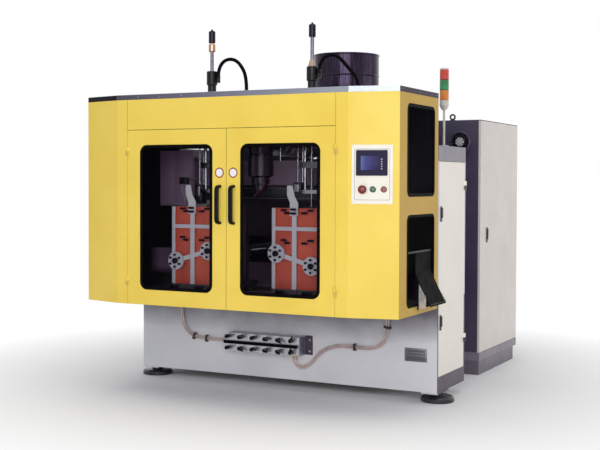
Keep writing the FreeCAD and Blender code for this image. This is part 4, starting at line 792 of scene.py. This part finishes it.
clamp = {"station": 400, "offset": 132, "face": 184, "circle": 42, "screws": 6, "high": 1026, "slant": 76,
         "plug": [(0, 4), (8, 4), (10, 6.5), (17.5, 6.5), (19.5, 4.5), (19.5, -6), (0, -6)],
         "slotHalf": (22.5, 7.6), "slotFace": 210, "slotPlaces": ((-83, 14), (-58, 32), (72, 32), (118, 14)),
         "slotStarts": (1330, 1130), "bracketFace": 190, "bracketSlots": (1296, 1322), "barRise": 3.6,
         "left": (-541, -342), "right": (303, 497), "footHalf": 31, "footFace": (186, 214),
         "footRise": (754, 782),
         "footScrew": [(0, 0), (9, 0), (9, 6), (7.6, 7.4), (4.2, 7.4), (4.2, 3.4), (0, 3.4)]}
for side, label in sides:
    middle = side * clamp["station"]
    rods = [(middle - side * clamp["offset"], clamp["high"]),
            (middle + side * clamp["offset"], clamp["high"] - clamp["slant"])]
    angles = [math.radians(90 + 360 / clamp["screws"] * number) for number in range(clamp["screws"])]
    circle = [(clamp["circle"] * math.cos(a), clamp["circle"] * math.sin(a)) for a in angles]
    heads("flangeScrews_" + label, label + "_front",
          [(place(x + u, clamp["face"], z + v), forward) for x, z in rods for u, v in circle],
          8.6, 5, 14, blackOxide)
    assemble("borePlugs_" + label, label + "_front", [blackOxide], 40,
             turned=[(clamp["plug"], place(x, clamp["face"], z), forward, 28) for x, z in rods])
for side, label in sides:
    middle = side * clamp["station"]
    half, rise = clamp["slotHalf"]
    bars = [(middle + dx, clamp["slotFace"], start - down) for start in clamp["slotStarts"]
            for dx, down in clamp["slotPlaces"]]
    bars += [(middle, clamp["bracketFace"], z) for z in clamp["bracketSlots"]]
    shape = bmesh.new()
    for x, y, z in bars:  # a touch proud of the face
        outline = roundedOutline(x - half, x + half, z - rise, z + rise, rise - 0.5, 4)
        addPrism(shape, [place(px, y + 3, pz) for px, pz in outline], forward * clamp["barRise"] / 1000)
    fromMesh("slotBars_" + label, shape, label + "_front", [blackOxide], 40)
for side, label in sides:
    (front, back), (low, high), half = clamp["footFace"], clamp["footRise"], clamp["footHalf"]
    middle = (low + high) / 2
    assemble("clampFeet_" + label, label + "_front", [blackOxide], 40,
             [((x - half, front, low), (x + half, back, high), 6) for x in clamp[label]],
             [(clamp["footScrew"], place(x, front + 0.4, middle), forward, 24) for x in clamp[label]])

# door handles: one bowed bar of oval section, its feet swept back to the door

handle = {"x": 53, "low": 1219.4, "high": 1484.6, "reach": 36.5, "bend": 26, "half": (16.4, 8.2), "foot": 11,
          "bendSteps": 8, "steps": 20, "squareness": 0.7}
low, high = handle["low"] + handle["foot"], handle["high"] - handle["foot"]
bend, run = handle["bend"], handle["bend"] - handle["reach"]
angles = [math.pi / 2 * i / handle["bendSteps"] for i in range(handle["bendSteps"] + 1)]
path = [(0, low)]
path += [(run - bend * math.sin(a), low + bend - bend * math.cos(a)) for a in angles]
path += [(run - bend * math.cos(a), high - bend + bend * math.sin(a)) for a in angles]
path.append((0, high))
for side, label in sides:
    shape = bmesh.new()
    rings = []
    for i, (y, z) in enumerate(path):
        back, front = path[max(i - 1, 0)], path[min(i + 1, len(path) - 1)]
        along = Vector((0, front[0] - back[0], front[1] - back[1])).normalized()
        across = Vector((0, along.z, -along.y))
        thick = handle["half"][1] if 0 < i < len(path) - 1 else handle["foot"] - 0.5
        ring = []
        for j in range(handle["steps"]):
            turn = 2 * math.pi * j / handle["steps"]
            wide, deep = [math.copysign(abs(v) ** handle["squareness"], v)
                          for v in (math.cos(turn), math.sin(turn))]
            spot = Vector((side * handle["x"] + handle["half"][0] * wide, y, z)) + across * (thick * deep)
            ring.append(shape.verts.new(place(*spot)))
        rings.append(ring)
    bridgeAndCap(shape, rings)
    piece = fromMesh("doorHandle_" + label, shape, label + "_door", [handlePlastic], 50)
    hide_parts(label + "_handle")

# manifold: knob and lever on each valve, every lever at its own turn

valves = {"first": -377, "pitch": 105, "front": 661, "leverOut": 37,
          "turns": {292: (20, -25, 0, 35, 30, 80), 375: (15, 30, 20, 15, -30, 60)},
          "knob": [(13, 0), (14, 3), (14, 17), (11.5, 20), (11.5, 27), (15, 29), (16, 33), (14, 37.4),
                   (0, 37.8)],
          "lever": ((-9, -9), (12, -8), (38, -5), (42, 0), (38, 5), (12, 8), (-9, 9)), "leverThick": 8}
shape = bmesh.new()
for row, turns in valves["turns"].items():
    for number, turn in enumerate(turns):
        x = valves["first"] + number * valves["pitch"]
        addTurned(shape, valves["knob"], place(x, valves["front"], row), forward, 20)
        way = Vector((math.cos(math.radians(turn)), 0, math.sin(math.radians(turn))))
        cross = Vector((-way.z, 0, way.x))
        at = place(x, valves["front"] - valves["leverOut"], row)
        addPrism(shape, [at + (way * u + cross * v) / 1000 for u, v in valves["lever"]],
                 forward * -valves["leverThick"] / 1000)
fromMesh("valveLevers", shape, "frame", [blackPlastic], 40)

# small fasteners: screws of the hinges and of the manifold plate, rivets of the roof band

screws = {"hingeX": 794, "hingeZ": (813, 1713), "hingeGap": 20, "bandZ": 2086, "bandFront": 11,
          "bandSlant": (24, 277), "bandSide": (110, 310), "plateX": (-445, 251), "plateZ": (294, 373),
          "plateFace": 748.8}
for side, label in sides:
    heads("hingeScrews_" + label, label + "_door",
          [(place(side * screws["hingeX"], 0, z + way * screws["hingeGap"]), forward)
           for z in screws["hingeZ"] for way in (-1, 1)], 3, 1.6, 14, yellowCoat)
half, row = hood["flatHalf"], screws["bandZ"]
first, run = screws["bandSlant"]
gaps = screws["bandFront"] - 1
rivets = [(place(half * (2 * i / gaps - 1), 0, row), forward) for i in range(gaps + 1)]
rivets += [(onChamfer(first + run * i / 2, row), slantOut) for i in range(3)]
first, pitch = screws["bandSide"]
for side in (1, -1):
    rivets += [(place(side * hood["halfWidth"], first + pitch * i, row), toRight * side) for i in range(3)]
heads("bandRivets", "frame", rivets, 3.4, 1.2, 14, zincPlate, False)
heads("manifoldScrews", "frame", [(place(x, screws["plateFace"], z), forward) for x in screws["plateX"]
                                  for z in screws["plateZ"]], 6, 4, 6, zincPlate)

# crimped ferrules at the ends of the water hoses, screwed unions at the ends of the air hoses

fittings = {"ferrule": [(7.2, 0), (9.4, 0), (9.4, 6), (8.6, 7), (8.6, 18), (9.2, 19), (9.2, 24), (7.2, 26)],
            "ports": ((120, 268), (-845, 653), (850, 653)), "sidePort": (-399, 327),
            "union": [(13, 0), (16, 0), (16, 10), (14.5, 12), (14.5, 26), (13, 28)], "unions": (-348, 452),
            "unionFoot": 2243, "gland": [(13, 0), (19.5, 0), (19.5, 9), (16, 12), (16, 24), (13, 26)],
            "glands": (-115, 745), "glandFoot": 2123}
ends = [(x, z, (1, 0), -upward) for x, z in fittings["ports"]] + [(*fittings["sidePort"], (0, 1), -toRight)]
assemble("hoseFerrules", "frame", [brass], 40, turned=[
    (fittings["ferrule"], place(x + gap * move[0], hoses["waterY"], z + gap * move[1]), way, 20)
    for x, z, move, way in ends for gap in (hoses["pairGap"], -hoses["pairGap"])])
assemble("airUnions", "frame", [blackOxide], 40, turned=[
    (fittings[kind], place(x, hoses["airY"], fittings[kind + "Foot"]), upward, 24)
    for kind in ("union", "gland") for x in fittings[kind + "s"]])

# cabinet fan: wire rings on four bars over the dark ring

fan = {"x": 941, "y": 1945, "z": 1820, "rings": (24, 40, 56, 70), "wire": 1.6, "bar": 1.8, "bars": 4,
       "reach": 76}
x, y, z, wire = fan["x"], fan["y"], fan["z"], fan["wire"]
circle = [(wire * math.cos(math.pi * i / 4), 3 + wire * math.sin(math.pi * i / 4)) for i in range(9)]
turns = [math.pi * i / fan["bars"] for i in range(fan["bars"])]
ways = [Vector((math.cos(a), 0, math.sin(a))) * (fan["reach"] / 1000) for a in turns]
assemble("fanGuard", "frame", [blackOxide], 50,
         turned=[([(radius + u, v) for u, v in circle], place(x, y, z), forward, 40)
                 for radius in fan["rings"]],
         pipes=[([place(x, y - 1, z) - way, place(x, y - 1, z) + way], fan["bar"], 8) for way in ways])

# outlet curtain: one rubber strip that hangs from its rail and is bent out over the tray

curtain = {"width": (381.4, 670.6), "top": 1049.6, "face": 1190, "bend": 905, "tip": (1295.2, 705),
           "thick": 3.6, "hangSteps": 6, "bendSteps": 18, "across": 14, "wave": 1.3}
face, bend, near, far = curtain["face"], curtain["bend"], curtain["width"][0], curtain["width"][1]
drop = (curtain["top"] - bend - 26) / curtain["hangSteps"]
line = [Vector((face, curtain["top"] - drop * i)) for i in range(curtain["hangSteps"] + 1)]
start, knee, end = line[-1], Vector((face + 0.6, bend - 6)), Vector(curtain["tip"])
belly = knee * 0.62 + end * 0.38
for i in range(1, curtain["bendSteps"] + 1):
    # the bend is tight at first, then the strip runs almost straight to its hem with a slight belly
    pull = (i / curtain["bendSteps"]) ** 0.9
    left = 1 - pull
    line.append(start * left ** 3 + knee * 3 * pull * left ** 2 + belly * 3 * pull ** 2 * left
                + end * pull ** 3)
shape = bmesh.new()
fronts, backs = [], []
for i, point in enumerate(line):
    along = (line[min(i + 1, len(line) - 1)] - line[max(i - 1, 0)]).normalized()
    normal = Vector((-along.y, along.x))
    slack = max(0, i - 8) / (len(line) - 8)
    for side, store in ((-0.5, fronts), (0.5, backs)):
        row = []
        for j in range(curtain["across"] + 1):
            part = j / curtain["across"]
            wave = curtain["wave"] * slack * math.sin(part * math.pi * 2.6 + 0.7)
            spot = point + normal * (side * curtain["thick"] + wave)
            row.append(shape.verts.new(place(spot.x, near + (far - near) * part, spot.y)))
        store.append(row)
bridge(shape, fronts, closed=False)
bridge(shape, backs, closed=False)
bridge(shape, [[row[0] for row in fronts], [row[0] for row in backs]], closed=False)
bridge(shape, [[row[-1] for row in fronts], [row[-1] for row in backs]], closed=False)
bridge(shape, [fronts[0], backs[0]], closed=False)
bridge(shape, [fronts[-1], backs[-1]], closed=False)
piece = fromMesh("outletCurtain", shape, "frame", [blackRubber], 40)
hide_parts("chute_curtain")
print("curtain hung")


# deep inside: cable tray under the beam, valve box, cooling pipes with their clamps, nozzle arm, conduit

conduitRed = enamel("conduitEnamelRed", ("3d1418", "551d20", "a83438"), (0.35, 0.5), 0.1, edge=0.4)
inside = {  # a block is its low and high corners, bevel and finish; a pipe is its points and radius
    "cableTray": {"finishes": (satinBlack, steelEnamel), "blocks": [
        ((-700, 862, 1366), (700, 958, 1476), 2), ((-694, 857, 1380), (694, 863, 1385), 0.8, 1),
        ((-694, 857, 1454), (694, 863, 1459), 0.8, 1)]},
    "valveBox": {"finishes": (mauvePanel, satinBlack), "blocks": [
        ((-1010, 700, 1322), (-724, 742, 1736), 3), ((-994, 696, 1338), (-880, 701, 1720), 2),
        ((-868, 696, 1338), (-740, 701, 1720), 2), ((-1040, 738, 1362), (-700, 762, 1392), 2, 1),
        ((-1040, 738, 1656), (-700, 762, 1686), 2, 1)]},
    "coolingPipes": {"finishes": (hardChrome,), "smooth": 50, "pipes": [
        (((x, y, foot), (x, y, head)), radius) for x, y, foot, head, radius in (
            (272, 505, 1470, 1990, 3.5), (306, 512, 1466, 1990, 5), (-528, 505, 1480, 1990, 5),
            (-500, 516, 1480, 1990, 3.5), (36, 560, 1642, 2010, 4), (104, 560, 1650, 2010, 4))]},
    "pipeClamps": {"finishes": (satinBlack, milledAlloy), "blocks": [
        ((262, 452, 1420), (322, 524, 1502), 5), ((276, 446, 1436), (308, 453, 1488), 2, 1),
        ((-540, 452, 1345), (-478, 524, 1482), 5), ((-526, 446, 1400), (-492, 453, 1470), 2, 1),
        ((278, 524, 1430), (306, 800, 1452), 2), ((278, 780, 1430), (306, 870, 1500), 2),
        ((-522, 524, 1430), (-494, 800, 1452), 2), ((-522, 780, 1430), (-494, 870, 1500), 2)]},
    "nozzleArm": {"finishes": (turnedSteel, satinBlack), "smooth": 40,
                  "blocks": [((-676, 458, 1484), (-616, 500, 1536), 4, 1)],
                  "turned": [([(0, 0), (7, 0), (9, 14), (9, 24), (0, 24)], place(-633, 474, 1334), upward,
                              16)],
                  "pipes": [(((-508, 640, 1441), (-600, 560, 1520), (-644, 480, 1524)), 6),
                            (((-668, 474, 1486), (-636, 474, 1350)), 2.6),
                            (((-624, 474, 1486), (-630, 474, 1350)), 2.6)]},
    "sensorConduit": {"finishes": (conduitRed,), "smooth": 60, "pipes": [
        (((62, 384, 1560), (80, 368, 1500), (64, 372, 1456), (20, 380, 1428), (-8, 384, 1402)), 3.2)]},
}
for name, given in inside.items():
    assemble(name, "frame", **given)
print("inside fitted")


# behind: louvred panels of the extruder base and louvres of the cabinet

rear = {"panel": (1760, 2660, 190, 1270), "panelX": 330, "sheet": 2.4, "louvreRows": 11, "pitch": 26,
        "baseBanks": [(y, z) for y in (1880, 2260) for z in (320, 880)], "baseLouvre": 250, "latch": 9,
        "latchInset": (40, 60), "cabinetX": 593, "cabinetLouvre": 290,
        "cabinetBanks": [(y, z) for y in (2090, 2560) for z in (1560, 240)],
        "section": ((-0.4, 13), (2, 10.5), (5.6, 1.2), (4.6, 0), (-0.4, 7))}


def addLouvres(shape, x, side, banks, length):
    # banks of pressed louvres, each a thin hood that opens downwards
    for y, foot in banks:
        for row in range(rear["louvreRows"]):
            z = foot + rear["pitch"] * row
            corners = [place(x + side * out, y, z + up) for out, up in rear["section"]]
            addPrism(shape, corners, Vector((0, length / 1000, 0)))


shape = bmesh.new()
latches = []
back, front, low, high = rear["panel"]
inset, rise = rear["latchInset"]
for side in (-1, 1):
    x = side * rear["panelX"]
    face = x + side * rear["sheet"]
    addBlock(shape, (min(x, face), back, low), (max(x, face), front, high), 1)
    addLouvres(shape, face, side, rear["baseBanks"], rear["baseLouvre"])
    latches += [(place(face, y, z), toRight * side) for y in (back + inset, front - inset)
                for z in (low + rise, high - rise)]
fromMesh("basePanels", shape, "frame", [steelEnamel], 30)
heads("basePanelLatches", "frame", latches, rear["latch"], 4, 24, zincPlate)
shape = bmesh.new()
addLouvres(shape, rear["cabinetX"], -1, rear["cabinetBanks"], rear["cabinetLouvre"])
fromMesh("cabinetLouvres", shape, "frame", [slateEnamel], 30)

# clamps of the heater bands: two straps, their lugs, and a ceramic block with two terminals

heater = {"axis": 1780, "bands": (776, 1016, 1256, 1496), "straps": (28, 160), "lugHalf": 13, "blockHalf": 24,
          "strap": [(89.5, 0), (92.2, 0), (92.2, 12), (89.5, 12)], "terminals": (-10, 10), "strapWidth": 12,
          "terminal": [(0, 0), (4, 0), (4, 9), (2.4, 9), (2.4, 15), (0, 15)]}
axis, half, block = heater["axis"], heater["lugHalf"], heater["blockHalf"]
straps = [band + start for band in heater["bands"] for start in heater["straps"]]
assemble("heaterClamps", "frame", [zincPlate, ivoryPlastic, brass], 40,
         [((-half, y, axis + 90), (half, y + heater["strapWidth"], axis + 104), 1.5) for y in straps]
         + [((-block, y + 72, axis + 88), (block, y + 128, axis + 116), 4, 1) for y in heater["bands"]],
         [(heater["strap"], place(0, y, axis), -forward, 56) for y in straps]
         + [(heater["terminal"], place(x, y + 100, axis + 116), upward, 12, 2)
            for y in heater["bands"] for x in heater["terminals"]])

# motor wiring: terminal box with its lid, a gland, and a rigid conduit down to the base

wiring = {"y": 2440, "gland": [(9, 0), (15, 0), (15, 8), (12, 10), (12, 22), (9, 24)],
          "foot": [(10, 0), (19, 0), (19, 9), (14, 12), (10, 12)],
          "route": ((62, 1706), (180, 1706), (215, 1671), (215, 1352))}
y = wiring["y"]
assemble("motorWiring", "frame", [steelEnamel, blackPlastic], 40,
         [((-62, y - 65, 1676), (62, y + 65, 1734), 5), ((-65, y - 68, 1734), (65, y + 68, 1742), 3)],
         [(wiring["gland"], place(61, y, 1706), toRight, 20, 1),
          (wiring["foot"], place(215, y, 1350), upward, 20, 1)],
         [([(x, y, z) for x, z in wiring["route"]], 10, 16, 1)])
print("back fitted")


# pale floor, white surround and soft lamps

studio = {"floorHalf": 40, "dim": 0.5, "white": 1.0, "target": (0, 900, 1100),
          "lamps": (("frontSoftbox", (3000, -6200, 2300), (5, 3.6), 262),
                    ("rightSoftbox", (5200, 3400, 1700), (3, 2.5), 42),
                    ("topSoftbox", (0, 800, 6500), (6, 6), 74))}


def seenDirectly(tree):
    # 1 to the camera, to gloss and through glass; 0 to every ray that carries light
    rays = addNode(tree, "ShaderNodeLightPath").outputs
    return sums("MAXIMUM", sums("MAXIMUM", rays["Is Camera Ray"], rays["Is Glossy Ray"]),
                rays["Is Transmission Ray"])


world = bpy.data.worlds.new("Studio")
bpy.context.scene.world = world
world.use_nodes = True
sky = world.node_tree
sky.nodes.clear()
dim = addNode(sky, "ShaderNodeBackground", {"Color": toLinear("f4f5f8"), "Strength": studio["dim"]})
white = addNode(sky, "ShaderNodeBackground", {"Color": toLinear("ffffff"), "Strength": studio["white"]})
mix = addNode(sky, "ShaderNodeMixShader",
              links={0: seenDirectly(sky), 1: dim.outputs[0], 2: white.outputs[0]})
addNode(sky, "ShaderNodeOutputWorld", links={"Surface": mix.outputs[0]})

floorMesh = bpy.data.meshes.new("floor")
half = studio["floorHalf"]
floorMesh.from_pydata([(-half, -half, 0), (half, -half, 0), (half, half, 0), (-half, half, 0)], [],
                      [(0, 1, 2, 3)])
floor = newObject("floor", floorMesh)
floorPaint, floorTree, floorShader = newMaterial("floorPaper", {"Roughness": 0.9, "Specular IOR Level": 0.0,
                                                                "Base Color": toLinear("f6f6f6")})
# further than a few metres from the machine the paper passes into the white of the background
away = addNode(floorTree, "ShaderNodeVectorMath", {"operation": "LENGTH"},
               {0: addNode(floorTree, "ShaderNodeTexCoord").outputs["Object"]})
fade = ramp(both(away.outputs["Value"], 0.1), [(0.14, 0.0), (0.34, 1.0)])
bright = addNode(floorTree, "ShaderNodeEmission", {"Color": toLinear("ffffff"), "Strength": studio["white"]})
blendFloor = addNode(floorTree, "ShaderNodeMixShader", links={
    0: both(fade, seenDirectly(floorTree)), 1: floorShader.outputs[0], 2: bright.outputs[0]})
floorOut = next(n for n in floorTree.nodes if n.type == "OUTPUT_MATERIAL")
floorTree.links.new(blendFloor.outputs[0], floorOut.inputs["Surface"])
floorMesh.materials.append(floorPaint)

target = place(*studio["target"])
for name, spot, size, power in studio["lamps"]:
    softbox = newObject(name, bpy.data.lights.new(name, "AREA"))
    softbox.data.shape = "RECTANGLE"
    softbox.data.size, softbox.data.size_y = size
    softbox.data.energy = power
    aim(softbox, place(*spot), target - place(*spot))
bpy.context.scene.view_settings.view_transform = "Standard"
print("stage and lamps set")
